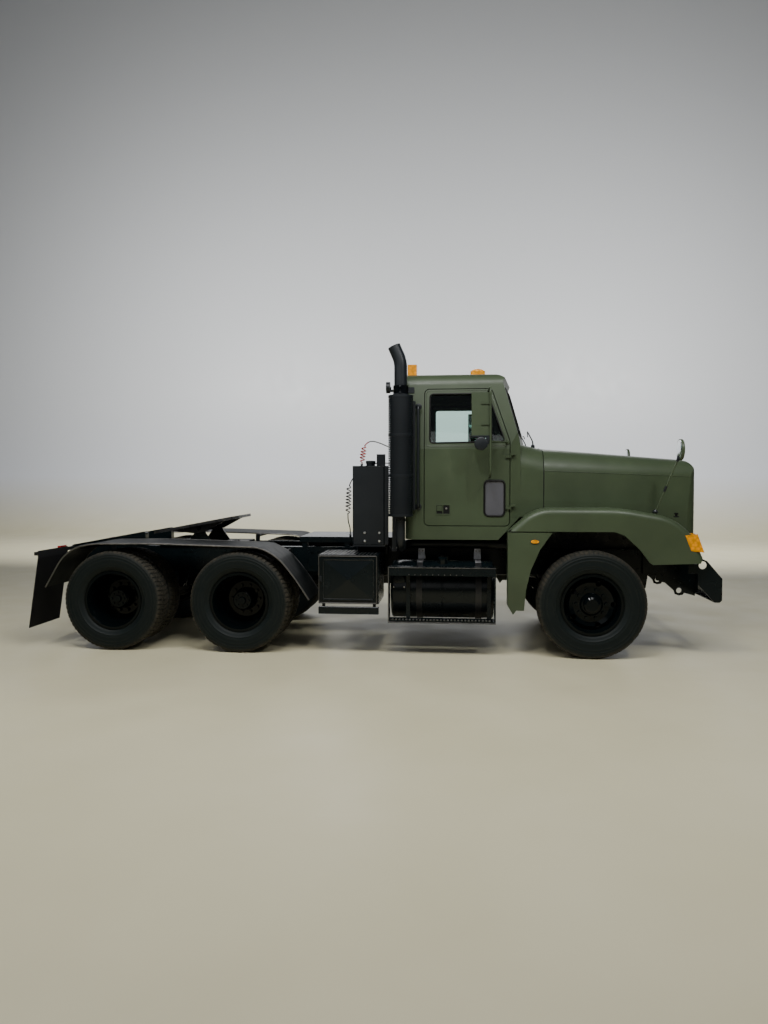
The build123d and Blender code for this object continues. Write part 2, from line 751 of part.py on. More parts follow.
with BuildPart() as cab_body:
    add(cab_shell.part)
    block((0, 2200), (-1200, 1200), (1000, ROOF_SEAM_Z), mode=Mode.INTERSECT)
    block((0, CAB_REAR_X + CAB_WALL), (-860, 860), (1250, ROOF_SEAM_Z), mode=Mode.SUBTRACT)
    block((500, 1450), (-900, 900), (1000, CAB_BOTTOM + CAB_WALL), mode=Mode.SUBTRACT)
    # the bodywork's half of each door hinge, just above the door's own
    for side in (-1, 1):
        for low in DOOR_HINGES:
            rod(
                (DOOR_HINGE_X, side * DOOR_HINGE_Y, low + 27),
                (DOOR_HINGE_X, side * DOOR_HINGE_Y, low + 46), 8,
            )
            y_limits = sorted((side * (DOOR_HINGE_Y + 2), side * (CAB_HALF_WIDTH - 25)))
            block((DOOR_HINGE_X + 3, DOOR_HINGE_X + 48), tuple(y_limits), (low + 27, low + 46))
keep_together("cab_body", cab_body, cab_floor)

with BuildPart() as rear_glass:
    with BuildSketch(Plane.YZ.offset(CAB_REAR_X + 20)) as pane:
        with Locations((0, 2330)):
            RectangleRounded(900, 420, 60)
    extrude(pane.sketch, amount=6)
keep_together("cab_glass", screen_glass, rear_glass)


# Hood: tapering bonnet joined to two fenders, hollow and open below and behind
# Fender outline in side view: the top line from the tail to the nose, then back along the arch
FENDER_TOP = ((1417, 1240), (1680, 1467), (2500, 1467), (2960, 1385), (3160, 1225), (3261, 997))
FENDER_TOP_RADII = [420, 1500, 500, 400]
FENDER_ARCH = (
    (3261, 997), (3232, 943), (2791, 927), (2762, 946), (2668, 1070), (2526, 1204),
    (2432, 1240), (1417, 1240),
)
TURN_SIGNAL = ((3084, 1212), (3197, 1225), (3262, 1050), (3142, 1064))
HEADLAMP = ((3100, 1215), (3222, 1215), (3282, 1058), (3160, 1058))


def bonnet_volume(inset, rear_x, bottom_z):
    """The bonnet between the fenders, or with an inset the hollow under it."""
    with BuildPart() as volume:
        loft([
            bonnet_section(HOOD_STATIONS, rear_x, bottom_z, inset),
            bonnet_section(HOOD_STATIONS, 3420, bottom_z, inset),
        ])
        with BuildSketch(Plane.XZ.offset(-1300)) as side:
            with BuildLine():
                Polyline(
                    (3366 - inset, 900), (rear_x - 10, 900), (rear_x - 10, 2300),
                    (3180, 2300), (3180, 1962 - inset),
                )
                ThreePointArc((3180, 1962 - inset), (3310 - inset, 1905 - inset), (3344 - inset, 1780))
                Line((3344 - inset, 1780), (3366 - inset, 900))
            make_face()
        extrude(side.sketch, amount=2600, mode=Mode.INTERSECT)
        with BuildSketch(Plane.XY.offset(850)) as plan:
            with BuildLine():
                Polyline((rear_x - 20, 0), (rear_x - 20, -1000), (3235, -1000), (3235, -620 + inset))
                ThreePointArc(
                    (3235, -620 + inset), (3325 - inset, -570 + inset), (3358 - inset, -470 + inset)
                )
                ThreePointArc(
                    (3358 - inset, -470 + inset), (3366 - inset, -240), (3368 - inset, 0)
                )
                mirror(about=Plane.XZ)
            make_face()
        extrude(plan.sketch, amount=1500, mode=Mode.INTERSECT)
    return volume


def is_fender_top(edge):
    """Whether an edge of the fender's outer side lies on its top line."""
    low = edge.bounding_box().min.Z
    return edge.center().Z > 1080 and low > 960 and edge.bounding_box().max.Z > 1241


with BuildPart() as fender:
    with BuildSketch(Plane.XZ.offset(500)) as outline:
        with BuildLine():
            FilletPolyline(*FENDER_TOP, radius=FENDER_TOP_RADII)
            Polyline(*FENDER_ARCH)
        make_face()
    extrude(outline.sketch, amount=FENDER_HALF_WIDTH - 500)
    outer_edges = fender.edges().filter_by_position(
        Axis.Y, -FENDER_HALF_WIDTH - 1, -FENDER_HALF_WIDTH + 1
    )
    fillet(outer_edges.filter_by(is_fender_top), radius=FENDER_EDGE_RADIUS)
    # the tail passes beside the cab with room for the door hinges
    with BuildSketch(Plane.XY.offset(800)) as cab_side:
        with BuildLine():
            Polyline(
                (1300, -400), (1300, -1036), (1500, -1036), (HOOD_REAR_X, -921), (HOOD_REAR_X, -400),
                close=True,
            )
        make_face()
    extrude(cab_side.sketch, amount=900, mode=Mode.SUBTRACT)

with BuildPart() as fender_hollow:
    with BuildSketch(Plane.XZ.offset(200)) as outline:
        with BuildLine():
            FilletPolyline(*FENDER_TOP, radius=FENDER_TOP_RADII)
            Polyline((3261, 997), (3285, 860), (1390, 860), (1417, 1240))
        make_face()
        offset(amount=-HOOD_WALL)
    extrude(outline.sketch, amount=FENDER_HALF_WIDTH - HOOD_WALL - 200)
    outer_edges = fender_hollow.edges().filter_by_position(
        Axis.Y, -FENDER_HALF_WIDTH + HOOD_WALL - 1, -FENDER_HALF_WIDTH + HOOD_WALL + 1
    )
    fillet(
        outer_edges.filter_by(is_fender_top),
        radius=FENDER_EDGE_RADIUS - HOOD_WALL,
    )

bonnet = bonnet_volume(0, HOOD_REAR_X, 1000)
bonnet_hollow = bonnet_volume(HOOD_WALL, HOOD_REAR_X - 60, 860)

with BuildPart() as hood:
    add(bonnet.part)
    add(fender.part)
    add(fender.part.mirror(Plane.XZ))
    add(bonnet_hollow.part, mode=Mode.SUBTRACT)
    add(fender_hollow.part, mode=Mode.SUBTRACT)
    add(fender_hollow.part.mirror(Plane.XZ), mode=Mode.SUBTRACT)
    # grille opening
    block((3300, 3400), (-440, 440), (1190, 1760), mode=Mode.SUBTRACT)
    for side in (-1, 1):
        slab(TURN_SIGNAL, tuple(sorted((side * 990, side * (FENDER_HALF_WIDTH + 4)))), mode=Mode.SUBTRACT)
        slab(HEADLAMP, tuple(sorted((side * 700, side * 980))), mode=Mode.SUBTRACT)

with BuildPart() as turn_signal:
    slab(TURN_SIGNAL, (-FENDER_HALF_WIDTH - 4, -990))

with BuildPart() as headlamp:
    slab(HEADLAMP, (-980, -700))
keep_together("front_lamps", both_sides(headlamp), both_sides(turn_signal))

with BuildPart() as grille:
    block((3320, 3362), (-440, 440), (1190, 1225))
    block((3310, 3348), (-440, 440), (1725, 1760))
    for bar in range(9):
        bar_z = 1270 + bar * 50
        block((3316, 3346), (-440, 440), (bar_z, bar_z + 16))
    for bar_y in (-440, -165, 145, 420):
        block((3305, 3325), (bar_y, bar_y + 20), (1190, 1760))
keep(grille, "grille")


# Hood hinges: arms inside the nose on a pin through the chassis bracket
HOOD_HINGE_Y = 500
with BuildPart() as hood_hinges:
    for side in (-1, 1):
        arm_y = tuple(sorted((side * (HOOD_HINGE_Y - 20), side * (HOOD_HINGE_Y + 20))))
        block((HOOD_PIVOT_X - 60, HOOD_PIVOT_X + 20), arm_y, (1000, 1120))
    block((HOOD_PIVOT_X - 60, HOOD_PIVOT_X + 20), (-HOOD_HINGE_Y, HOOD_HINGE_Y), (1070, 1120))
    add(bonnet_hollow.part, mode=Mode.INTERSECT)
    for side in (-1, 1):
        arm_y = tuple(sorted((side * (HOOD_HINGE_Y - 20), side * (HOOD_HINGE_Y + 20))))
        slab(
            (
                (HOOD_PIVOT_X - 32, HOOD_PIVOT_Z - 10), (HOOD_PIVOT_X - 10, HOOD_PIVOT_Z - 31),
                (HOOD_PIVOT_X + 10, HOOD_PIVOT_Z - 31), (HOOD_PIVOT_X + 32, HOOD_PIVOT_Z),
                (HOOD_PIVOT_X + 20, 960), (HOOD_PIVOT_X - 14, 1001), (HOOD_PIVOT_X - 60, 1001),
            ),
            arm_y,
        )
        rod(
            (HOOD_PIVOT_X, arm_y[0], HOOD_PIVOT_Z), (HOOD_PIVOT_X, arm_y[1], HOOD_PIVOT_Z),
            15, Mode.SUBTRACT,
        )
keep_together("hood", hood, hood_hinges)

# Hood mirrors: a round head on a slanting stalk from the fender
with BuildPart() as hood_mirror:
    rod((2825, -1085, 1405), (2825, -1085, 1432), 22)
    rod((2825, -1085, 1425), (3012, -1150, 1935), 8)
    rod((3012, -1150, 1935), (3028, -1155, 2026), 9)
    rod((3022, -1155, 2026), (3050, -1155, 2026), 102)
    fillet(hood_mirror.edges().filter_by(GeomType.CIRCLE).sort_by(Edge.length)[-1], radius=10)
    rod((3050, -1155, 2026), (3072, -1155, 2026), 12)
    add(hood.part, mode=Mode.SUBTRACT)
keep(both_sides(hood_mirror), "hood_mirrors")

# Quarter panels: fixed skins behind the front wheels, with the wheel-house liner
QUARTER_OUTLINE = (
    (1416, 1229), (1416, 512), (1469, 424), (1500, 466), (1575, 466), (1593, 671),
    (1639, 866), (1724, 1062), (1842, 1229),
)
with BuildPart() as quarter_panel:
    slab(QUARTER_OUTLINE, (-FENDER_HALF_WIDTH + 3, -FENDER_HALF_WIDTH + 15))
    slab(
        (
            (1575, 466), (1593, 671), (1639, 866), (1724, 1062), (1842, 1229), (1830, 1229),
            (1713, 1066), (1628, 870), (1582, 674), (1564, 466),
        ),
        (-FENDER_HALF_WIDTH + 15, -720),
    )
    slab(((1416, 1229), (1416, 512), (1428, 512), (1428, 1229)), (-FENDER_HALF_WIDTH + 15, -1010))
    block((1560, 1630), (-760, -RAIL_HALF_WIDTH), (838, 872))
keep(both_sides(quarter_panel), "quarter_panels")

with BuildPart() as marker_lamp:
    with BuildSketch(Plane.XZ.offset(FENDER_HALF_WIDTH - 3)):
        with Locations((1674, 1143)):
            Ellipse(38, 17)
    extrude(amount=12)

# Front bumper: a channel across, with end plates that rise to a tow ear each side
BUMPER_HALF_WIDTH = 1060
EAR = (3285, 917)
with BuildPart() as bumper:
    with BuildSketch(Plane.XZ.offset(-BUMPER_HALF_WIDTH)) as channel:
        with BuildLine():
            Polyline(
                (3400, 556), (3448, 556), (3470, 578), (3470, 790), (3452, 806), (3400, 806),
                (3400, 796), (3448, 796), (3460, 786), (3460, 582), (3444, 566), (3400, 566),
                close=True,
            )
        make_face()
    extrude(channel.sketch, amount=2 * BUMPER_HALF_WIDTH)
    for side in (-1, 1):
        plate_y = tuple(sorted((side * BUMPER_HALF_WIDTH, side * (BUMPER_HALF_WIDTH - 14))))
        slab(
            (
                (3466, 578), (3466, 792), (3324, 960), (3285, 976), (3244, 960), (3226, 917),
                (3236, 860), (3250, 720), (3400, 556), (3448, 556),
            ),
            plate_y,
        )
        rod((EAR[0], plate_y[0] - 5, EAR[1]), (EAR[0], plate_y[1] + 5, EAR[1]), 38, Mode.SUBTRACT)
keep(bumper, "front_bumper")

# Bumper brackets carry the bumper and the hood pivot; tow plates hang on the rails
with BuildPart() as bumper_bracket:
    slab(
        (
            (RAIL_FRONT_X, 745), (RAIL_FRONT_X, 1005), (3260, 985), (3330, 960),
            (3378, 940), (3378, 905), (3340, 880), (3400, 780), (3400, 600), (3250, 690),
        ),
        (-476, -452),
    )
    block((2860, RAIL_FRONT_X), (-476, -452), (760, 990))
    block((2860, 3000), (-452, -RAIL_HALF_WIDTH), (780, 970))
    block((3380, 3400), (-540, -452), (600, 780))
    rod((HOOD_PIVOT_X, -545, HOOD_PIVOT_Z), (HOOD_PIVOT_X, -452, HOOD_PIVOT_Z), 13)

with BuildPart() as tow_plate:
    slab(
        (
            (3000, 800), (3160, 800), (3400, 700), (3400, 530), (3290, 560), (3278, 540),
            (3237, 531), (3196, 545), (3183, 585), (3090, 668), (3000, 690),
        ),
        (-444, -RAIL_HALF_WIDTH),
    )
    rod((3237, -450, 585), (3237, -430, 585), 27, Mode.SUBTRACT)
keep_together("front_brackets", both_sides(bumper_bracket), both_sides(tow_plate))

# Fuel tanks with their step frames
TANK_REAR_X = 262
TANK_FRONT_X = 1290
TANK_Y = 800
TANK_Z = 622
TANK_RADIUS = 294
with BuildPart() as fuel_tank:
    rod((TANK_REAR_X, -TANK_Y, TANK_Z), (TANK_FRONT_X, -TANK_Y, TANK_Z), TANK_RADIUS)
    fillet(fuel_tank.edges().filter_by(GeomType.CIRCLE), radius=22)
    rod((779, -TANK_Y - 90, 880), (779, -TANK_Y - 106, 950), 44)

STRAP_X = (548, 1137)
with BuildPart() as tank_straps:
    for strap_x in STRAP_X:
        with BuildSketch(Plane.YZ.offset(strap_x - 30)) as strap:
            with Locations((-TANK_Y, TANK_Z)):
                Circle(TANK_RADIUS + 5)
                Circle(TANK_RADIUS, mode=Mode.SUBTRACT)
        extrude(strap.sketch, amount=60)
        slab(
            ((strap_x - 46, 760), (strap_x + 46, 760), (strap_x + 30, 1040), (strap_x - 30, 1040)),
            (-560, -RAIL_HALF_WIDTH),
        )
        rod(
            (strap_x - 60, -TANK_Y, TANK_Z), (strap_x + 60, -TANK_Y, TANK_Z),
            TANK_RADIUS, Mode.SUBTRACT,
        )
keep(both_sides(tank_straps), "tank_straps")

with BuildPart() as step_frame:
    for tread_z, inner_y in ((333, -1010), (862, -1060)):
        block((247, 1301), (-1210, inner_y), (tread_z, tread_z + 22))
    for post_x in (247, 1287):
        block((post_x, post_x + 14), (-1210, -1100), (355, 862))
    for arm_x in (440, 1240):
        block((arm_x - 20, arm_x + 20), (-1112, -1090), (355, 862))
keep_together("fuel_tanks", both_sides(fuel_tank), both_sides(step_frame))

# Toolbox behind the right tank, with a tread top and a step bar under it
BOX_REAR_X = -446
BOX_FRONT_X = 153
BOX_WALL = 12
DOOR_FACE_Y = 1212
with BuildPart() as toolbox:
    block((BOX_REAR_X, BOX_FRONT_X), (-1192, -640), (512, 1000))
    block(
        (BOX_REAR_X + BOX_WALL, BOX_FRONT_X - BOX_WALL), (-1200, -640 - BOX_WALL),
        (512 + BOX_WALL, 1000 - BOX_WALL), mode=Mode.SUBTRACT,
    )
    block((BOX_REAR_X, BOX_FRONT_X), (-1212, -1150), (412, 480))
    for leg_x in (BOX_REAR_X + 30, BOX_FRONT_X - 60):
        block((leg_x, leg_x + 30), (-1170, -1150), (480, 512))
        block((leg_x, leg_x + 30), (-640, -RAIL_HALF_WIDTH), (860, 940))
    rod((BOX_FRONT_X - 4, -1201, 520), (BOX_FRONT_X - 4, -1201, 560), 5)
    rod((BOX_FRONT_X - 4, -1201, 940), (BOX_FRONT_X - 4, -1201, 980), 5)
    block((BOX_FRONT_X - 8, BOX_FRONT_X), (-1201, -1192), (520, 560))
    block((BOX_FRONT_X - 8, BOX_FRONT_X), (-1201, -1192), (940, 980))

with BuildPart() as toolbox_door:
    block((BOX_REAR_X, BOX_FRONT_X - 12), (-DOOR_FACE_Y + 6, -1200), (518, 994))
    block((BOX_REAR_X + 34, BOX_FRONT_X - 46), (-DOOR_FACE_Y, -DOOR_FACE_Y + 6), (556, 956))
    block((BOX_REAR_X + 14, BOX_REAR_X + 32), (-DOOR_FACE_Y - 12, -DOOR_FACE_Y + 6), (730, 800))
    for low in (562, 900):
        rod((BOX_FRONT_X - 4, -1201, low), (BOX_FRONT_X - 4, -1201, low + 38), 5)
        block((BOX_FRONT_X - 13, BOX_FRONT_X - 4), (-1205, -1201), (low, low + 38))
keep(toolbox_door, "toolbox_door")

# Battery box, the toolbox's counterpart on the left
with BuildPart() as battery_box:
    block((BOX_REAR_X, BOX_FRONT_X), (640, 1190), (540, 960))
    block((BOX_REAR_X - 6, BOX_FRONT_X + 6), (634, 1198), (960, 1000))
    block((BOX_REAR_X, BOX_FRONT_X), (1130, 1212), (412, 480))
    for leg_x in (BOX_REAR_X + 30, BOX_FRONT_X - 60):
        block((leg_x, leg_x + 30), (1140, 1170), (480, 540))
        block((leg_x, leg_x + 30), (RAIL_HALF_WIDTH, 640), (860, 940))
keep_together("side_boxes", toolbox, battery_box)

# Cab mounts: a crossbar with a pad on each rail
with BuildPart() as cab_mounts:
    for mount_x in (520, 1330):
        block((mount_x, mount_x + 60), (-RAIL_HALF_WIDTH, RAIL_HALF_WIDTH), (1066, 1104))
        for side in (-1, 1):
            pad_y = tuple(sorted((side * RAIL_HALF_WIDTH, side * (RAIL_HALF_WIDTH - 80))))
            block((mount_x - 10, mount_x + 70), pad_y, (RAIL_TOP, CAB_BOTTOM))
keep_together("crossmembers", crossmembers, cab_mounts)

# Deck plate behind the cab
with BuildPart() as deck:
    block((-791, 300), (-430, 430), (1060, DECK_TOP))
    block((-781, 290), (-420, 420), (1060, DECK_TOP - 6), mode=Mode.SUBTRACT)
    rod((-240, -380, DECK_TOP), (-240, -380, DECK_TOP + 18), 12)
    for side in (-1, 1):
        pad_y = tuple(sorted((side * 420, side * 350)))
        for pad_x in (-770, -300, 200):
            block((pad_x, pad_x + 60), pad_y, (RAIL_TOP, DECK_TOP - 6))
keep(deck, "deck_plate")

# Air lines to the trailer, parked: each runs from a gland on the cab's rear wall to its coil
AIR_LINE_RADIUS = 6
COIL_RADIUS = 34
GLAND_FACE_X = CAB_REAR_X - 16
RED_COIL_TOP = (-62, -550, 2120)
RED_COIL_FOOT = (-92, -550, 1905)
RED_ROUTE = (
    (GLAND_FACE_X, -550, 2050), (318, -550, 2050), (206, -550, 2086), (90, -550, 2140),
    (0, -550, 2158), (-63, -550, 2112),
)
BLACK_COIL_TOP = (-246, -430, 1700)
BLACK_COIL_FOOT = (-262, -420, 1350)
BLACK_ROUTE = (
    (GLAND_FACE_X, -446, 1900), (300, -446, 1900), (180, -446, 1925), (30, -446, 1922),
    (-90, -442, 1880), (-180, -436, 1795), (-246, -430, 1692),
)
BLACK_TAIL = (
    (-262, -420, 1354), (-259, -411, 1282), (-240, -380, 1212), (-240, -380, DECK_TOP + 18),
)


def air_line(route):
    """A hose of straight runs and the largest tangent arcs that fit them, added to the piece being built."""
    radii = []
    for before, corner, after in zip(route, route[1:], route[2:]):
        run_in, run_out = Vector(*corner) - Vector(*before), Vector(*after) - Vector(*corner)
        half_turn = math.radians(run_in.get_angle(run_out)) / 2
        radii.append(0.45 * min(run_in.length, run_out.length) / math.tan(half_turn))
    print("air line arcs in mm:", [round(radius) for radius in radii])
    with BuildLine() as centre_line:
        FilletPolyline(*route, radius=radii)
    path = centre_line.wires()[0]
    with BuildSketch(Plane(origin=path @ 0, z_dir=path % 0)) as section:
        Circle(AIR_LINE_RADIUS)
    sweep(section.sketch, path=path)


with BuildPart() as red_line:
    air_line(RED_ROUTE)
    rod(RED_COIL_TOP, RED_COIL_FOOT, COIL_RADIUS)
keep(red_line, "air_line_red")

with BuildPart() as black_line:
    air_line(BLACK_ROUTE)
    rod(BLACK_COIL_TOP, BLACK_COIL_FOOT, COIL_RADIUS)
    air_line(BLACK_TAIL)
keep(black_line, "air_line_black")

# Hydraulic tank on a bracket beside the deck
with BuildPart() as hydraulic_tank:
    block((-138, 190), (-955, -480), (1080, 1883))
    fillet(hydraulic_tank.edges().filter_by(Axis.Z), radius=14)
    rod((20, -700, 1883), (20, -700, 1925), 45)
    # valve block, and the gland that takes the coiled line
    block((75, 165), (-630, -585), (1883, 2012))
    coil_axis = Vector(*RED_COIL_FOOT) - Vector(*RED_COIL_TOP)
    rod(RED_COIL_FOOT, tuple(Vector(*RED_COIL_FOOT) + coil_axis.normalized() * 26), 12)
with BuildPart() as hydraulic_bracket:
    block((-138, 190), (-955, -432), (1062, 1080))
    block((-138, -120), (-636, -432), (960, 1062))
    block((172, 190), (-636, -432), (960, 1062))
    block((-138, 190), (-442, -432), (960, 1062))
keep_together("hydraulic_tank", hydraulic_tank, hydraulic_bracket)

# Exhaust: under-cab pipe, muffler in its guard, and a tail pipe turned to the rear
STACK_X = 365
STACK_Y = -1120
with BuildPart() as exhaust_pipe:
    with BuildLine() as route:
        FilletPolyline(
            (STACK_X, STACK_Y, 1400), (STACK_X, STACK_Y, 1068), (STACK_X, -620, 1068),
            (1700, -620, 1068), (1850, -367, 1068),
            radius=[110, 110, 90],
        )
    with BuildSketch(Plane(origin=(STACK_X, STACK_Y, 1400), z_dir=(0, 0, -1))) as tube:
        Circle(46)
    sweep(tube.sketch, path=route.line)

with BuildPart() as muffler:
    rod((STACK_X, STACK_Y, 1400), (STACK_X, STACK_Y, 2560), 104)
    rod((STACK_X, STACK_Y, 2560), (STACK_X, STACK_Y, 2585), 78)
with BuildPart() as muffler_guard:
    rod((STACK_X, STACK_Y, 1380), (STACK_X, STACK_Y, 2571), 124)
    rod((STACK_X, STACK_Y, 1370), (STACK_X, STACK_Y, 2580), 118, Mode.SUBTRACT)
    for ring_z in (1380, 2559):
        with BuildSketch(Plane.XY.offset(ring_z)) as ring:
            with Locations((STACK_X, STACK_Y)):
                Circle(119)
                Circle(104, mode=Mode.SUBTRACT)
        extrude(ring.sketch, amount=12)
keep(muffler_guard, "muffler_guard")

with BuildPart() as tail_pipe:
    with BuildLine() as route:
        FilletPolyline(
            (STACK_X, STACK_Y, 2585), (STACK_X, STACK_Y, 2905), (STACK_X - 66, STACK_Y, 3054),
            radius=[300],
        )
    with BuildSketch(Plane.XY.offset(2585)) as tube:
        with Locations((STACK_X, STACK_Y)):
            Circle(64)
            Circle(58, mode=Mode.SUBTRACT)
    sweep(tube.sketch, path=route.line)
keep_together("exhaust", exhaust_pipe, muffler, tail_pipe)

with BuildPart() as stack_mast:
    block((265, 305), (-925, -885), (1046, 2450))
    block((260, 310), (-930, -RAIL_HALF_WIDTH), (1016, 1046))
    block((260, 310), (-RAIL_HALF_WIDTH - 10, -RAIL_HALF_WIDTH), (900, 1046))
    for arm_z in (1560, 2380):
        rod((285, -905, arm_z), (335, -1040, arm_z), 16)
    # upright channel on the cab's corner, tied to the guard
    block((478, 508), (-1074, -1040), (1440, 2520))
    for arm_z in (1500, 2000):
        block((484, 504), (-1040, -CAB_HALF_WIDTH), (arm_z, arm_z + 50))
    for arm_z in (1560, 1980, 2380):
        block((420, 480), (-1072, -1044), (arm_z, arm_z + 36))
    rod((STACK_X, STACK_Y, 1300), (STACK_X, STACK_Y, 2571), 124, Mode.SUBTRACT)

# Fifth wheel: a slotted plate that tilts on two pins, parked nose up
TILT = math.radians(COUPLER_REST_ANGLE)
PLATE_HALF_WIDTH = 457
PLATE_FRONT = 440
PLATE_REAR = 552
PLATE_TOP = 62
plate_plane = Plane(
    origin=(COUPLER_PIVOT_X, 0, COUPLER_PIVOT_Z),
    x_dir=(math.cos(TILT), 0, math.sin(TILT)),
    z_dir=(-math.sin(TILT), 0, math.cos(TILT)),
)
with BuildPart() as coupler_plate:
    with BuildSketch(plate_plane.offset(PLATE_TOP - 30)) as outline:
        with BuildLine():
            Polyline(
                (-PLATE_REAR, -300), (-PLATE_REAR + 120, -PLATE_HALF_WIDTH), (260, -PLATE_HALF_WIDTH),
                (400, -400), (PLATE_FRONT, -250), (PLATE_FRONT, 250), (400, 400),
                (260, PLATE_HALF_WIDTH), (-PLATE_REAR + 120, PLATE_HALF_WIDTH), (-PLATE_REAR, 300),
                close=True,
            )
        make_face()
        fillet(outline.vertices(), radius=40)
        with BuildLine():
            Polyline(
                (0, -KINGPIN_JAW_RADIUS), (-90, -KINGPIN_JAW_RADIUS), (-PLATE_REAR - 20, -190),
                (-PLATE_REAR - 20, 190), (-90, KINGPIN_JAW_RADIUS), (0, KINGPIN_JAW_RADIUS), close=True,
            )
        make_face(mode=Mode.SUBTRACT)
        Circle(KINGPIN_JAW_RADIUS, mode=Mode.SUBTRACT)
    extrude(outline.sketch, amount=30)
    # side ribs down to the pivot pins
    with BuildSketch(Plane(origin=plate_plane.origin, x_dir=plate_plane.x_dir, z_dir=(0, -1, 0))) as rib:
        with BuildLine():
            Polyline(
                (-330, PLATE_TOP - 30), (-60, -46), (60, -46), (300, PLATE_TOP - 30), close=True
            )
        make_face()
    for rib_y in (-360, -310, 290, 340):
        extrude(rib.sketch.moved(Location((0, rib_y + 20, 0))), amount=20)
    rod((COUPLER_PIVOT_X, -385, COUPLER_PIVOT_Z), (COUPLER_PIVOT_X, -265, COUPLER_PIVOT_Z), 22, Mode.SUBTRACT)
    rod((COUPLER_PIVOT_X, 265, COUPLER_PIVOT_Z), (COUPLER_PIVOT_X, 385, COUPLER_PIVOT_Z), 22, Mode.SUBTRACT)
keep(coupler_plate, "fifth_wheel_plate")

with BuildPart() as coupler_base:
    block(
        (COUPLER_PIVOT_X - 420, COUPLER_PIVOT_X + 420), (-RAIL_HALF_WIDTH - 20, RAIL_HALF_WIDTH + 20),
        (RAIL_TOP, RAIL_TOP + 16),
    )
    for side in (-1, 1):
        post_y = tuple(sorted((side * 314, side * 336)))
        slab(
            (
                (COUPLER_PIVOT_X - 150, RAIL_TOP + 16), (COUPLER_PIVOT_X - 26, COUPLER_PIVOT_Z),
                (COUPLER_PIVOT_X - 18, COUPLER_PIVOT_Z + 18), (COUPLER_PIVOT_X + 18, COUPLER_PIVOT_Z + 18),
                (COUPLER_PIVOT_X + 26, COUPLER_PIVOT_Z), (COUPLER_PIVOT_X + 150, RAIL_TOP + 16),
            ),
            post_y,
        )
        pin_y = sorted((side * 268, side * 382))
        rod(
            (COUPLER_PIVOT_X, pin_y[0], COUPLER_PIVOT_Z), (COUPLER_PIVOT_X, pin_y[1], COUPLER_PIVOT_Z), 20
        )
keep(coupler_base, "fifth_wheel_base")

# Approach ramps on the rails behind the coupler
with BuildPart() as frame_ramp:
    slab(
        ((-2540, RAIL_TOP), (-2540, 1150), (-2560, 1166), (-3385, 1016), (-3385, RAIL_TOP)),
        (-RAIL_HALF_WIDTH, -RAIL_HALF_WIDTH + RAIL_FLANGE),
    )
keep(both_sides(frame_ramp), "frame_ramps")

# Tandem fenders: one bent sheet over both rear wheels, on three stays
SHEET = 8
TANDEM_LINE = (
    (-3285, 640), (-3110, 940), (-2965, 1052), (-2780, 1090), (-2160, 1098), (-1030, 1068),
    (-850, 968), (-690, 775), (-540, 549),
)
with BuildPart() as tandem_fender:
    with BuildSketch(Plane.XZ.offset(620)) as sheet:
        with BuildLine() as line:
            FilletPolyline(*TANDEM_LINE, radius=[250, 200, 300, 900, 150, 250, 400])
        trace(line.line, line_width=SHEET)
    extrude(sheet.sketch, amount=600)
    for stay_x, stay_z in ((-2900, 1046), (-1490, 1067), (-900, 976)):
        rod((stay_x, -1190, stay_z), (stay_x, -RAIL_HALF_WIDTH - 6, stay_z), 18)
        block(
            (stay_x - 25, stay_x + 25), (-RAIL_HALF_WIDTH - 14, -RAIL_HALF_WIDTH),
            (900, stay_z + 18),
        )
keep(both_sides(tandem_fender), "tandem_fenders")

# Mud flaps on hangers behind the rear wheels
with BuildPart() as mudflap:
    slab(
        ((-3352, 1013), (-3360, 1013), (-3360, 940), (-3470, 215), (-3461, 215), (-3352, 936)),
        (-1220, -620),
    )
with BuildPart() as flap_hanger:
    block((-3398, -3360), (-1220, -RAIL_HALF_WIDTH), (965, 1000))
keep_together("mudflaps", both_sides(mudflap), both_sides(flap_hanger))
with BuildPart() as tail_lamp:
    block((-3428, -3398), (-700, -560), (930, 1020))

# Door mirrors on a C-shaped tube, riding on the doors
with BuildPart() as door_mirror:
    with BuildLine() as hoop:
        FilletPolyline(
            (1228, -912, 2626), (1240, -1250, 2640), (1240, -1250, 1770), (1240, -997, 1770),
            radius=[60, 60],
        )
    with BuildSketch(Plane(origin=(1240, -997, 1770), z_dir=(0, -1, 0))) as tube:
        Circle(9)
    sweep(tube.sketch, path=hoop.line)
    for clamp_z in (2270, 2470, 2090):
        block((1150, 1236), (-1242, -1232), (clamp_z, clamp_z + 12))
    block((1058, 1234), (-1232, -1196), (2163, 2581))
    rod((1150, -1236, 2090), (1150, -1206, 2090), 62)
with BuildPart() as left_door_mirror:
    mirror(door_mirror.part, about=Plane.XZ)
keep_together("door_right", right_door, door_mirror)
keep_together("door_left", left_door, left_door_mirror)

# Interior: seats, dashboard, and steering wheel on its column (driver on the left)
with BuildPart() as seat:
    block((640, 1090), (-730, -230), (1480, 1600))
    slab(((560, 1580), (690, 1600), (600, 2260), (500, 2260)), (-730, -230))
    block((700, 1030), (-640, -320), (1193, 1480))
    fillet(seat.edges().filter_by(Axis.Y), radius=18)
keep(both_sides(seat), "seats")

with BuildPart() as dashboard:
    slab(((1600, 1500), (1450, 1560), (1440, 1990), (1500, 2070), (1600, 2075)), (-880, 880))
    add(cab_inner.part, mode=Mode.INTERSECT)

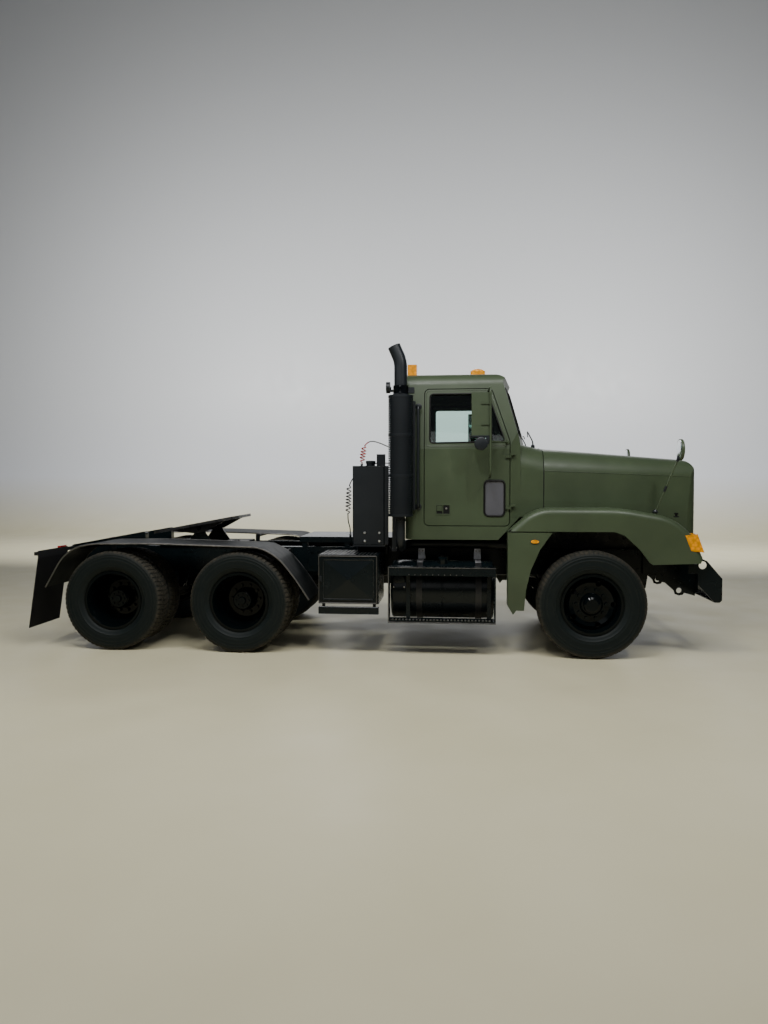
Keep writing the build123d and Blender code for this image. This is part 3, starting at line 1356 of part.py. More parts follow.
STEERING_HUB = (1290, 480, 1990)
with BuildPart() as steering_wheel:
    with BuildSketch(Plane(origin=STEERING_HUB, x_dir=(0, 1, 0), z_dir=(0.57, 0, 0.82))) as rim:
        with Locations((225, 0)):
            Circle(16)
    revolve(rim.sketch, axis=Axis(STEERING_HUB, (-0.82, 0, 0.57)))
    rod((1290 - 12, 480, 1990 + 8), (1440 + 10, 480, 1880), 34)
    rod((1290, 480 - 218, 1990), (1290, 480 + 218, 1990), 11)
keep_together("dashboard", dashboard, steering_wheel)

# Lamps on the roof, the work lamp behind the cab and the windscreen wipers
with BuildPart() as roof_lamps:
    for lamp_y in (-620, -150, 0, 150, 620):
        with Locations((1130, lamp_y, 2836)):
            Box(150, 78, 60)
    fillet(roof_lamps.edges().filter_by(Axis.Z), radius=20)
    add(cab_outer.part, mode=Mode.SUBTRACT)

with BuildPart() as beacon:
    with Locations((456, -700, 2860)):
        Box(94, 94, 134)
    add(cab_outer.part, mode=Mode.SUBTRACT)
keep_together("lamps", roof_lamps, beacon, both_sides(marker_lamp), both_sides(tail_lamp))

with BuildPart() as work_lamp:
    rod((195, -820, 2685), (235, -820, 2685), 58)
    block((235, CAB_REAR_X), (-832, -808), (2640, 2664))
    block((225, 247), (-832, -808), (2640, 2690))
keep_together("stack_mast", stack_mast, work_lamp)
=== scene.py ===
"""Dresses the three-axle truck tractor unit: finishes, road tread, small fittings, studio and camera."""

import logging
import math
from dataclasses import dataclass, field
from enum import Enum
from typing import Callable, ClassVar, Iterable, Sequence

import bmesh
import bpy
import numpy as np
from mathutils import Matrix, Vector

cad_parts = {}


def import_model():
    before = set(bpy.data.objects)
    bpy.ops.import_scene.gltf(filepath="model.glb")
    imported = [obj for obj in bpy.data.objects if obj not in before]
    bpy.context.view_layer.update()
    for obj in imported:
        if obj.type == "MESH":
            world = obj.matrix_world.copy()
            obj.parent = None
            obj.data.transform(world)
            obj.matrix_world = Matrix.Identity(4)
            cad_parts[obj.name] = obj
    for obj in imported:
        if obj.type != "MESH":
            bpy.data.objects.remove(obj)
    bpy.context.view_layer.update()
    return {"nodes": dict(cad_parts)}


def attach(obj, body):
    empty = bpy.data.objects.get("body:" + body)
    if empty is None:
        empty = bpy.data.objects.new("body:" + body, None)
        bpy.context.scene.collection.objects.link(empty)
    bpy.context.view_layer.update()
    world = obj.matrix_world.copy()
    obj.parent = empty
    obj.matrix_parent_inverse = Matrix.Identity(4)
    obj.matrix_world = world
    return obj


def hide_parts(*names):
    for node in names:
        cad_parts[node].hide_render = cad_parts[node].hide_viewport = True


Array = np.ndarray
Pair = tuple[float, float]
Point = tuple[float, float, float]
Colour = tuple[float, float, float]

MM = 0.001
log = logging.getLogger("tractor_unit")


class Axis(Enum):
    """A row axis, as the order that carries (along, across, up) into X, Y and Z."""

    X = 0
    Y = 1
    Z = 2

    def vector(self) -> Array:
        """The unit vector of the axis."""
        return np.eye(3)[self.value]


class Side(Enum):
    """A side of the vehicle, as the sign of its Y."""

    RIGHT = -1
    LEFT = 1

    @property
    def word(self) -> str:
        """The side's name in lower case, as the bodies and nodes carry it."""
        return self.name.lower()

    def of(self, right: "Surface") -> "Surface":
        """A right-hand surface as it stands on this side."""
        return right if self is Side.RIGHT else right.mirrored()


# Surfaces


@dataclass
class Surface:
    """A surface in metres: its points, its four-sided faces, other faces, and one value per point."""

    points: Array
    quads: Array = field(default_factory=lambda: np.zeros((0, 4), int))
    caps: list[list[int]] = field(default_factory=list)
    values: Array | None = None

    def moved(self, offset: Sequence[float]) -> "Surface":
        """The same surface carried by an offset in metres."""
        return Surface(self.points + np.asarray(offset), self.quads, self.caps, self.values)

    def mirrored(self) -> "Surface":
        """The same surface on the other side of the vehicle, with Y negated."""
        caps = [cap[::-1] for cap in self.caps]
        return Surface(self.points * (1, -1, 1), self.quads[:, ::-1], caps, self.values)

    def turned(self, pivot: Sequence[float], degrees: float) -> "Surface":
        """The same surface turned about an axis along Y through the pivot, nose down for positive degrees."""
        a = math.radians(degrees)
        turn = np.array([[math.cos(a), 0, math.sin(a)], [0, 1, 0], [-math.sin(a), 0, math.cos(a)]])
        return Surface((self.points - pivot) @ turn.T + pivot, self.quads, self.caps, self.values)


def together(parts: Iterable[Surface]) -> Surface:
    """Joins surfaces into one, each face list shifted by the points before it.

    Args:
        parts: The surfaces, in metres.

    Returns:
        One surface that holds them all.
    """
    parts = list(parts)
    starts = np.cumsum([0] + [len(p.points) for p in parts[:-1]])
    caps = [[i + int(s) for i in cap] for p, s in zip(parts, starts) for cap in p.caps]
    values = None
    if all(p.values is not None for p in parts):
        values = np.concatenate([p.values for p in parts])
    return Surface(
        np.concatenate([p.points for p in parts]),
        np.concatenate([p.quads + s for p, s in zip(parts, starts)]),
        caps,
        values,
    )


def both(right: Surface) -> Surface:
    """A right-hand surface together with its mirror image."""
    return together([right, right.mirrored()])


def grid(points: Array, wrap_rows: bool = False, wrap_columns: bool = False, capped: bool = False) -> Surface:
    """Stitches a grid of points into four-sided faces.

    The face at row r and column c joins (r, c), (r, c+1), (r+1, c+1) and (r+1, c), counted round where a
    direction wraps.

    Args:
        points: Rows by columns by three, in metres.
        wrap_rows: Whether the last row meets the first.
        wrap_columns: Whether the last column meets the first.
        capped: Whether the first and last rows are closed with a face each.

    Returns:
        The stitched surface.
    """
    rows, columns = points.shape[:2]
    r, c = np.meshgrid(
        np.arange(rows if wrap_rows else rows - 1),
        np.arange(columns if wrap_columns else columns - 1),
        indexing="ij",
    )
    r2, c2 = (r + 1) % rows, (c + 1) % columns
    quads = np.stack([r * columns + c, r * columns + c2, r2 * columns + c2, r2 * columns + c], -1)
    caps = []
    if capped:
        last = (rows - 1) * columns
        caps = [list(range(columns))[::-1], list(range(last, last + columns))]
    return Surface(points.reshape(-1, 3), quads.reshape(-1, 4), caps)


def lathe(profile: Sequence[Pair], centre: Point, axis: Axis, segments: int = 32) -> Surface:
    """Turns a profile about an axis.

    A profile point (a, r) at the angle t lies at a along the axis, and at r cos t and r sin t across it.

    Args:
        profile: Points (along, radius) in metres, measured from the centre.
        centre: The point that along = 0 stands for.
        axis: The axis of the turning.
        segments: How many steps make the full turn.

    Returns:
        The turned surface, closed at ends that don't reach the axis.
    """
    table = np.asarray(profile, float)
    t = np.linspace(0, 2 * math.pi, segments, endpoint=False)
    along, across, up = axis.value, (axis.value + 1) % 3, (axis.value + 2) % 3
    points = np.zeros((len(table), segments, 3))
    points[..., along] = table[:, 0, None]
    points[..., across] = table[:, 1, None] * np.cos(t)
    points[..., up] = table[:, 1, None] * np.sin(t)
    return grid(points + np.asarray(centre), wrap_columns=True, capped=True)


def unit(rows: Array) -> Array:
    """The rows of a table, or one vector, scaled to unit length."""
    return rows / np.linalg.norm(rows, axis=-1, keepdims=True)


def circles(line: Array, tangent: Array, first: Array, radius: float | Array, sides: int) -> Array:
    """Rings of points: at the angle t, the centre plus r (first cos t + second sin t).

    Args:
        line: The rings' centres.
        tangent: The unit direction of the line at each centre.
        first: The first unit axis of each ring; the second is tangent cross first.
        radius: One radius for all the rings, or one each.
        sides: How many points make a ring.

    Returns:
        Rings by points by three, in metres.
    """
    t = np.linspace(0, 2 * math.pi, sides, endpoint=False)[None, :, None]
    second = np.cross(tangent, first)
    size = np.broadcast_to(np.asarray(radius, float), (len(line),))[:, None, None]
    return line[:, None] + size * (first[:, None] * np.cos(t) + second[:, None] * np.sin(t))


def tube(path: Array, radius: float | Array, sides: int = 10, guide: Sequence[float] = (0, 0, 1)) -> Surface:
    """Carries a circle along a path.

    At each path point the circle stands across the tangent, and its first axis is guide cross tangent.

    Args:
        path: Points of the centre line, in metres.
        radius: The circle's radius, one number or one per path point.
        sides: How many sides the circle has.
        guide: A direction that the path never runs along.

    Returns:
        The tube, closed at both ends.
    """
    line = np.asarray(path, float)
    tangent = unit(np.gradient(line, axis=0))
    first = unit(np.cross(np.asarray(guide, float), tangent))
    return grid(circles(line, tangent, first, radius, sides), wrap_columns=True, capped=True)


def hoop(path: Array, radius: float, sides: int = 8) -> Surface:
    """Carries a circle round a closed path.

    The circle at each point stands across the chord of its two neighbours, and its first axis is that chord
    cross a direction near Y.

    Args:
        path: Points of the closed line, in metres, the last not repeating the first.
        radius: The circle's radius.
        sides: How many sides the circle has.

    Returns:
        The closed ring.
    """
    tangent = unit(np.roll(path, -1, 0) - np.roll(path, 1, 0))
    first = unit(np.cross(tangent, (0.05, 1, 0.02)))
    return grid(circles(path, tangent, first, radius, sides), wrap_rows=True, wrap_columns=True)


def arcs(start: Array, corners: Array, end: Array, steps: int) -> Array:
    """Quadratic arcs, row after row: with s from 0 to 1, (1-s)^2 start + 2 s (1-s) corner + s^2 end."""
    s = np.linspace(0, 1, steps)[None, :, None]
    made = (1 - s) ** 2 * start[:, None] + 2 * s * (1 - s) * corners[:, None] + s**2 * end[:, None]
    return made.reshape(-1, made.shape[-1])


def bent(corners: Sequence[Point], radius: float, steps: int = 6) -> Array:
    """Rounds the corners of a rod's centre line.

    Each corner is replaced by a quadratic arc between the points one bend radius before and after it.

    Args:
        corners: The corners of the line, in metres.
        radius: How far each rounding reaches from its corner.
        steps: How many points make a rounding.

    Returns:
        The rounded line's points.
    """
    table = np.asarray(corners, float)
    before, after = table[1:-1] - table[:-2], table[2:] - table[1:-1]
    long_before = np.linalg.norm(before, axis=1, keepdims=True)
    long_after = np.linalg.norm(after, axis=1, keepdims=True)
    reach = np.minimum(radius, 0.45 * np.minimum(long_before, long_after))
    start = table[1:-1] - before / long_before * reach
    end = table[1:-1] + after / long_after * reach
    return np.concatenate([table[:1], arcs(start, table[1:-1], end, steps), table[-1:]])


def rectangle(low: Sequence[float], high: Sequence[float]) -> tuple[Pair, ...]:
    """The four corners of a rectangle, in turn from its low corner."""
    return (low[0], low[1]), (high[0], low[1]), (high[0], high[1]), (low[0], high[1])


def rounded(corners: Sequence[Pair], radius: float, steps: int = 7) -> Array:
    """A closed outline with rounded corners.

    Each corner becomes a quadratic arc between the points one radius before and after it, as in bent.

    Args:
        corners: The outline's corners in its own plane.
        radius: The rounding's reach.
        steps: Points to a rounding.

    Returns:
        The outline's points, in two columns.
    """
    table = np.asarray(corners, float)
    start = table - unit(table - np.roll(table, 1, 0)) * radius
    end = table + unit(np.roll(table, -1, 0) - table) * radius
    return arcs(start, table, end, steps)


def rim(outline: Array, y: float, radius: float) -> Surface:
    """A bead round an outline in X and Z, at one place across the vehicle."""
    return hoop(np.stack([outline[:, 0], np.full(len(outline), y), outline[:, 1]], 1), radius)


def plate(outline: Sequence[Pair], axis: Axis, span: Pair, edge: float) -> Surface:
    """A plate with chamfered edges, carried along one axis.

    The outline's four rings stand at the span's ends and an edge width inside them; the end rings are the
    outline moved inward by the edge width, each corner along the sum of its two side normals.

    Args:
        outline: Corners in metres, on the two axes after the plate's own one, in the order X, Y, Z.
        axis: The axis that the plate is thick along.
        span: Where the plate begins and ends on that axis.
        edge: The chamfer's width.

    Returns:
        The closed plate.
    """
    table = np.asarray(outline, float)
    ahead, behind = np.roll(table, -1, 0) - table, table - np.roll(table, 1, 0)
    area = np.sum(table[:, 0] * np.roll(table[:, 1], -1) - np.roll(table[:, 0], -1) * table[:, 1])
    turn = 1 if area > 0 else -1
    normal_a = unit(np.stack([-ahead[:, 1], ahead[:, 0]], 1) * turn)
    normal_b = unit(np.stack([-behind[:, 1], behind[:, 0]], 1) * turn)
    inward = (normal_a + normal_b) / (1 + np.sum(normal_a * normal_b, 1, keepdims=True) + 1e-6)
    inset = table + inward * edge
    across = [i for i in range(3) if i != axis.value]
    rings = np.zeros((4, len(table), 3))
    rings[..., axis.value] = np.array([span[0], span[0] + edge, span[1] - edge, span[1]])[:, None]
    rings[..., across] = np.stack([inset, table, table, inset])
    return grid(rings, wrap_columns=True, capped=True)


def bar(low: Point, high: Point, edge: float = 0.002) -> Surface:
    """A straight bar with chamfered edges between two corners, in metres."""
    low, high = np.minimum(low, high), np.maximum(low, high)
    return plate(rectangle(low, high), Axis.Z, (low[2], high[2]), edge)


def heads(
    centres: Sequence[Point], direction: Sequence[float], radius: float, height: float, sides: int = 6
) -> Surface:
    """Bolt heads: prisms with a domed top, all of one size.

    Ring radii are r, r, 0.82 r and 0.4 r at the heights 0, 0.7 h, h and 1.08 h along the direction.

    Args:
        centres: The foot of each head.
        direction: Which way the heads stand.
        radius: The head's outer radius.
        height: The head's height.
        sides: Six for a hexagon, more for a round head.

    Returns:
        All the heads as one surface.
    """
    along = unit(np.asarray(direction, float))
    guide = Axis.Z.vector() if abs(along[2]) < 0.9 else Axis.X.vector()
    first = unit(np.cross(guide, along))
    sizes = np.array([1, 1, 0.82, 0.4]) * radius
    rises = np.array([0, 0.7, 1.0, 1.08]) * height
    rings = circles(rises[:, None] * along, along[None], first[None], sizes, sides)
    one = grid(rings, wrap_columns=True, capped=True)
    return together(one.moved(c) for c in centres)


# Finishes


@dataclass
class Bench:
    """A material's node tree under construction."""

    name: str
    material: bpy.types.Material = field(init=False)
    shader: bpy.types.Node = field(init=False)

    def __post_init__(self) -> None:
        """Starts a material that holds the standard shader alone."""
        self.material = bpy.data.materials.new(self.name)
        self.material.use_nodes = True
        self.shader = self.material.node_tree.nodes["Principled BSDF"]

    def node(self, kind: str, **settings: object) -> bpy.types.Node:
        """Adds a node; settings named in_<number> go to inputs, and the others to properties.

        Args:
            kind: The node's type.
            **settings: Values, or output sockets, for the node.

        Returns:
            The new node.
        """
        made = self.material.node_tree.nodes.new(kind)
        for key, value in settings.items():
            if not key.startswith("in_"):
                setattr(made, key, value)
        for key, value in settings.items():
            if key.startswith("in_"):
                self.feed(made.inputs[int(key[3:])], value)
        return made

    def feed(self, socket: bpy.types.NodeSocket, value: object) -> None:
        """Links an output to a socket, or sets its value."""
        if isinstance(value, bpy.types.NodeSocket):
            self.material.node_tree.links.new(value, socket)
        else:
            socket.default_value = value

    def place(self) -> bpy.types.NodeSocket:
        """The point's place in the row frame, in metres."""
        return self.node("ShaderNodeTexCoord").outputs["Object"]

    def noise(self, scale: float, detail: float = 3, rough: float = 0.55) -> bpy.types.NodeSocket:
        """A cloudy value around one half, at the given number of clouds to the metre."""
        made = self.node("ShaderNodeTexNoise", in_0=self.place(), in_2=scale, in_3=detail, in_4=rough)
        return made.outputs["Fac"]

    def wave(self, scale: float, direction: str) -> bpy.types.NodeSocket:
        """Parallel bands across one row axis."""
        made = self.node("ShaderNodeTexWave", in_0=self.place(), in_1=scale, bands_direction=direction)
        return made.outputs["Fac"]

    def cells(self, scale: float) -> bpy.types.NodeSocket:
        """The distance from the middle of the nearest cell."""
        return self.node("ShaderNodeTexVoronoi", in_0=self.place(), in_2=scale).outputs[0]

    def along(self, axis: Axis) -> bpy.types.NodeSocket:
        """The point's place on one row axis."""
        return self.node("ShaderNodeSeparateXYZ", in_0=self.place()).outputs[axis.value]

    def span(
        self, value: object, low: float, high: float, to_low: float, to_high: float
    ) -> bpy.types.NodeSocket:
        """Carries a value from one range to another, held at its ends."""
        made = self.node("ShaderNodeMapRange", in_0=value, in_1=low, in_2=high, in_3=to_low, in_4=to_high)
        return made.outputs[0]

    def maths(self, operation: str, a: object, b: object = 0.0) -> bpy.types.NodeSocket:
        """One arithmetic step on two values."""
        return self.node("ShaderNodeMath", operation=operation, in_0=a, in_1=b).outputs[0]

    def blend(self, factor: object, a: object, b: object) -> bpy.types.NodeSocket:
        """Mixes two colours by a factor."""
        made = self.node("ShaderNodeMix", data_type="RGBA")
        self.feed(made.inputs["Factor"], factor)
        self.feed(made.inputs[6], a)
        self.feed(made.inputs[7], b)
        return made.outputs[2]

    def beyond(self, axis: Axis, edge: float, soft: float = 0.002) -> bpy.types.NodeSocket:
        """One where the distance from zero along a row axis is more than the edge, and zero inside it."""
        away = self.maths("ABSOLUTE", self.along(axis))
        return self.span(away, edge - soft, edge + soft, 0.0, 1.0)

    def bump(self, height: object, strength: float, distance: float) -> None:
        """Feeds a height to the shader's normal."""
        made = self.node("ShaderNodeBump")
        made.inputs["Strength"].default_value = strength
        made.inputs["Distance"].default_value = distance
        self.feed(made.inputs["Height"], height)
        self.feed(self.shader.inputs["Normal"], made.outputs[0])

    def set(self, **values: object) -> None:
        """Sets or links the shader's inputs; an underscore stands for a space."""
        for key, value in values.items():
            self.feed(self.shader.inputs[key.replace("_", " ")], value)


def rgba(colour: Colour, factor: float = 1.0) -> tuple[float, float, float, float]:
    """A colour with full opacity, made lighter or darker by a factor."""
    return (*(min(1.0, c * factor) for c in colour), 1.0)


DUST: Colour = (0.20, 0.185, 0.155)
AMBER_TINT: Colour = (0.93, 0.36, 0.0)
RED_TINT: Colour = (0.42, 0.008, 0.006)


@dataclass(frozen=True)
class Finish:
    """What every finish has: a name and the record's slot that it belongs to."""

    name: str
    slot: str
    made: ClassVar[dict[str, bpy.types.Material]] = {}

    def material(self) -> bpy.types.Material:
        """The finish's material, built the first time it is asked for."""
        if self.name not in Finish.made:
            Finish.made[self.name] = self.build(Bench(self.name)).material
        return Finish.made[self.name]

    def build(self, bench: Bench) -> Bench:
        """Sets up the nodes of the finish."""
        raise NotImplementedError


@dataclass(frozen=True)
class Paint(Finish):
    """Sprayed paint: clouded colour, faint orange peel, and dust that thickens towards the ground."""

    colour: Colour = (0.1, 0.1, 0.1)
    rough: float = 0.4
    coat: float = 0.0
    dust: float = 0.15
    dust_top: float = 1.3
    peel: float = 0.06
    shine: float = 0.5

    def build(self, bench: Bench) -> Bench:
        """Clouds the colour, lays dust by height and by clouds, and adds fine peel."""
        cloud = bench.noise(2.2, 4)
        clouded = bench.span(cloud, 0.35, 0.7, 0, 1)
        base = bench.blend(clouded, rgba(self.colour, 0.88), rgba(self.colour, 1.14))
        low = bench.span(bench.along(Axis.Z), 0.15, self.dust_top, self.dust, self.dust * 0.08)
        patch = bench.span(bench.noise(4.5, 4, 0.6), 0.35, 0.7, 0.3, 1.0)
        dusty = bench.maths("MULTIPLY", low, patch)
        bench.set(Base_Color=bench.blend(dusty, base, rgba(DUST)))
        grain = bench.span(bench.noise(11, 3), 0.3, 0.7, self.rough - 0.03, self.rough + 0.05)
        bench.set(Roughness=bench.maths("ADD", grain, bench.maths("MULTIPLY", dusty, 0.5)))
        bench.set(Coat_Weight=self.coat, Coat_Roughness=0.12, Specular_IOR_Level=self.shine)
        bench.bump(bench.noise(190, 2), self.peel, 0.0006)
        return bench


@dataclass(frozen=True)
class BareMetal(Finish):
    """Bare or plated metal with fine streaks along X and dull patches."""

    colour: Colour = (0.75, 0.75, 0.76)
    rough: float = 0.25
    grime: float = 0.2
    bare_above: float = -1.0

    def build(self, bench: Bench) -> Bench:
        """Streaks the roughness, darkens patches where grime sits, and paints what lies below bare_above."""
        stretch = bench.node("ShaderNodeMapping", in_0=bench.place(), in_3=(6, 160, 160)).outputs[0]
        streak = bench.node("ShaderNodeTexNoise", in_0=stretch, in_2=3.0, in_3=4.0).outputs["Fac"]
        patch = bench.span(bench.noise(14, 5, 0.7), 0.45, 0.75, 0.0, self.grime)
        metal = bench.blend(patch, rgba(self.colour), rgba(self.colour, 0.25))
        rough = bench.span(streak, 0.3, 0.7, self.rough - 0.06, self.rough + 0.1)
        bench.set(Roughness=bench.maths("ADD", rough, bench.maths("MULTIPLY", patch, 0.4)))
        if self.bare_above < 0:
            bench.set(Base_Color=metal, Metallic=1.0)
        else:
            bare = bench.beyond(Axis.Z, self.bare_above)
            bench.set(Base_Color=bench.blend(bare, (0.006, 0.0065, 0.007, 1), metal), Metallic=bare)
        bench.bump(streak, 0.08, 0.0006)
        return bench


@dataclass(frozen=True)
class Casting(Finish):
    """Rough cast or forged metal with a dark oily film."""

    colour: Colour = (0.03, 0.03, 0.03)
    rough: float = 0.5
    film: float = 0.4

    def build(self, bench: Bench) -> Bench:
        """Grainy bump, and a film that makes patches smoother and darker."""
        film = bench.span(bench.noise(11, 5, 0.7), 0.4, 0.62, 0.0, self.film)
        bench.set(Base_Color=bench.blend(film, rgba(self.colour), rgba(self.colour, 0.3)))
        grain = bench.span(bench.noise(60), 0.3, 0.7, self.rough, self.rough + 0.2)
        bench.set(Roughness=bench.maths("SUBTRACT", grain, film))
        bench.bump(bench.noise(190, 4, 0.7), 0.35, 0.0015)
        return bench


@dataclass(frozen=True)
class Rubber(Finish):
    """Moulded rubber; the mesh attribute wear greys the running surface."""

    colour: Colour = (0.014, 0.014, 0.014)
    rough: float = 0.62
    road: Colour = (0.085, 0.08, 0.072)

    def build(self, bench: Bench) -> Bench:
        """Greys the rubber by wear and by clouds of dust, with a fine grain."""
        wear = bench.node("ShaderNodeAttribute", attribute_name="wear").outputs["Fac"]
        cloud = bench.span(bench.noise(13, 5, 0.68), 0.35, 0.7, 0.35, 1.0)
        amount = bench.maths("MULTIPLY", bench.maths("ADD", wear, 0.04), cloud)
        bench.set(Base_Color=bench.blend(amount, rgba(self.colour), rgba(self.road)))
        bench.set(Roughness=bench.span(amount, 0.0, 1.0, self.rough, 0.92), Specular_IOR_Level=0.2)
        bench.bump(bench.noise(330, 3), 0.12, 0.001)
        return bench


@dataclass(frozen=True)
class Lens(Finish):
    """A moulded lens of clear or coloured plastic with close ribs."""

    colour: Colour = AMBER_TINT
    outer_colour: Colour = RED_TINT
    axis: Axis = Axis.X
    edge: float = 3.3
    ribs: float = 210.0

    def build(self, bench: Bench) -> Bench:
        """Ribs as a bump, a clear coat, a cellular reflector behind, and the outer colour beyond the edge."""
        rib = bench.wave(self.ribs / 6.28, "Z")
        cell = bench.cells(30.0)
        tint = bench.blend(bench.beyond(self.axis, self.edge), rgba(self.colour), rgba(self.outer_colour))
        deep = bench.node("ShaderNodeHueSaturation", in_2=0.6, in_4=tint).outputs[0]
        bench.set(Base_Color=bench.blend(bench.span(cell, 0.1, 0.7, 0.0, 1.0), tint, deep))
        bench.set(Roughness=bench.span(bench.noise(40), 0.3, 0.7, 0.16, 0.28), Specular_IOR_Level=0.3)
        bench.set(Coat_Weight=0.15, Coat_Roughness=0.05)
        bench.bump(rib, 0.25, 0.001)
        return bench


@dataclass(frozen=True)
class Pane(Finish):
    """Tinted safety glass with a trace of dust."""

    colour: Colour = (0.74, 0.9, 0.84)

    def build(self, bench: Bench) -> Bench:
        """Clear glass whose roughness rises a little where dust lies."""
        dust = bench.span(bench.noise(7, 5, 0.7), 0.4, 0.75, 0.0, 0.06)
        bench.set(Base_Color=rgba(self.colour), Roughness=dust, IOR=1.45, Transmission_Weight=1.0)
        bench.set(Coat_Weight=0.25, Coat_Roughness=0.02)
        return bench


@dataclass(frozen=True)
class Silvering(Finish):
    """Mirror glass, faintly smeared."""

    def build(self, bench: Bench) -> Bench:
        """Full metal with a low, patchy roughness."""
        smear = bench.span(bench.noise(17, 5, 0.7), 0.4, 0.8, 0.02, 0.12)
        bench.set(Base_Color=(0.82, 0.85, 0.86, 1), Metallic=1.0, Roughness=smear)
        return bench


@dataclass(frozen=True)
class Weave(Finish):
    """Woven seat cloth."""

    colour: Colour = (0.045, 0.05, 0.055)

    def build(self, bench: Bench) -> Bench:
        """Two crossed bands of threads as colour and bump."""
        thread = bench.maths("MULTIPLY", bench.wave(120.0, "Y"), bench.wave(120.0, "X"))
        bench.set(Base_Color=bench.blend(thread, rgba(self.colour, 0.6), rgba(self.colour, 1.6)))
        bench.set(Roughness=bench.span(bench.noise(20), 0.3, 0.7, 0.82, 0.95), Sheen_Weight=0.3)
        bench.bump(thread, 0.4, 0.0008)
        return bench


@dataclass(frozen=True)
class Moulding(Finish):
    """Moulded plastic with a fine leather-like grain, of another colour ahead of a place along X."""

    colour: Colour = (0.03, 0.03, 0.03)
    rough: float = 0.55
    coat: float = 0.0
    fore_colour: Colour | None = None
    fore_from: float = 0.0

    def build(self, bench: Bench) -> Bench:
        """Cell grain as a bump under a faintly clouded colour."""
        cell = bench.cells(420.0)
        tone = bench.blend(bench.noise(8), rgba(self.colour, 0.8), rgba(self.colour, 1.25))
        if self.fore_colour is not None:
            fore = bench.span(bench.along(Axis.X), self.fore_from - 0.004, self.fore_from + 0.004, 0.0, 1.0)
            tone = bench.blend(fore, tone, rgba(self.fore_colour))
        bench.set(Base_Color=tone)
        bench.set(Roughness=bench.span(bench.noise(35), 0.3, 0.7, self.rough - 0.06, self.rough + 0.08))
        bench.set(Coat_Weight=self.coat, Coat_Roughness=0.1)
        bench.bump(cell, 0.15, 0.0008)
        return bench


GREEN = Paint("olive_green_paint", "green_paint", (0.044, 0.0625, 0.031), 0.42, 0.03, 0.04, 1.5, 0.06, 0.38)
CHASSIS = Paint(
    "chassis_black_paint", "black_paint", (0.0025, 0.0055, 0.0065), 0.24, 0.05, 0.012, 1.0, 0.03, 0.22
)
GLOSS = Paint("gloss_black_fender", "black_paint", (0.003, 0.0045, 0.005), 0.56, 0.04, 0.02, 1.3, 0.03, 0.2)
SATIN = Paint("satin_black_paint", "black_paint", (0.0055, 0.008, 0.0105), 0.42, 0.02, 0.01, 2.0, 0.04, 0.4)
WHEEL = Paint(
    "gloss_black_wheel_paint", "gloss_black", (0.001, 0.0025, 0.003), 0.1, 0.04, 0.004, 0.9, 0.01, 0.12
)
CASTING = Casting("greasy_casting", "cast_iron", (0.016, 0.0155, 0.015), 0.5, 0.35)
STRAP = BareMetal("bright_aluminium", "aluminium", (0.72, 0.72, 0.73), 0.3, 0.35)
STRAP_HALF = BareMetal("half_painted_aluminium", "aluminium", (0.86, 0.86, 0.87), 0.42, 0.6, 0.905)
STEEL = BareMetal("worn_steel", "aluminium", (0.42, 0.41, 0.4), 0.32, 0.45)
DARK_STEEL = BareMetal("worn_black_steel", "aluminium", (0.16, 0.155, 0.15), 0.38, 0.6)
TYRE = Rubber("tyre_rubber", "tyre", (0.002, 0.0058, 0.006), 0.55, (0.060, 0.051, 0.036))
SEAL = Rubber("seal_rubber", "black_rubber", (0.005, 0.005, 0.005), 0.5, (0.02, 0.019, 0.017))
FLAP = Rubber("flap_rubber", "black_rubber", (0.007, 0.007, 0.0075), 0.55, (0.022, 0.021, 0.019))
AMBER = Lens("amber_and_red_lens", "amber_lens")
LAMP = Lens("clear_and_amber_lens", "amber_lens", (0.62, 0.64, 0.66), AMBER_TINT, Axis.Y, 0.985, 160.0)
GLASS = Pane("window_glass", "glass", (0.79, 0.945, 0.895))
FROST = Moulding("frosted_plastic", "glass", (0.072, 0.072, 0.082), 0.42, 0.4)
SILVER = Silvering("mirror_glass", "glass")
CLOTH = Weave("seat_weave", "seat_cover")
VINYL = Moulding("seat_vinyl", "seat_cover", (0.02, 0.022, 0.024), 0.45, 0.15)
PLASTIC = Moulding("black_moulded_plastic", "dark_plastic", (0.016, 0.016, 0.017))
HOSE_RED = Moulding("red_air_hose", "red_hose", (0.42, 0.014, 0.008), 0.3, 0.5, (0.006, 0.006, 0.006), -0.022)
HOSE_BLACK = Moulding("black_air_hose", "black_hose", (0.006, 0.006, 0.006), 0.32, 0.5)

NODE_FINISHES: dict[Finish, tuple[str, ...]] = {
    GREEN: ("cab_body", "cab_rear_wall", "cab_roof", "door_left", "door_right", "hood", "hood_mirrors",
            "quarter_panels"),
    CHASSIS: (
        "crossmembers", "deck_plate", "drive_axles", "driveline", "fifth_wheel_base",
        "frame_rail_left", "frame_rail_right", "frame_ramps", "front_axle", "front_brackets", "front_bumper",
        "fuel_tanks", "side_boxes", "toolbox_door", "tie_rod",
    ),
    GLOSS: ("tandem_fenders",),
    SATIN: ("grille", "exhaust", "hydraulic_tank", "radiator", "stack_mast", "muffler_guard"),
    WHEEL: (
        "front_wheel_left", "front_wheel_right", "middle_wheel_left", "middle_wheel_right",
        "rear_wheel_left", "rear_wheel_right",
    ),
    CASTING: ("engine_block", "fifth_wheel_plate", "steering_knuckle_left", "steering_knuckle_right"),
    STRAP_HALF: ("tank_straps",),
    SEAL: ("air_springs",),
    FLAP: ("mudflaps",),
    AMBER: ("lamps",),
    LAMP: ("front_lamps",),
    GLASS: ("cab_glass", "door_glass_left", "door_glass_right"),
    CLOTH: ("seats",),
    PLASTIC: ("dashboard",),
    HOSE_RED: ("air_line_red",),
    HOSE_BLACK: ("air_line_black",),
}


# Pieces


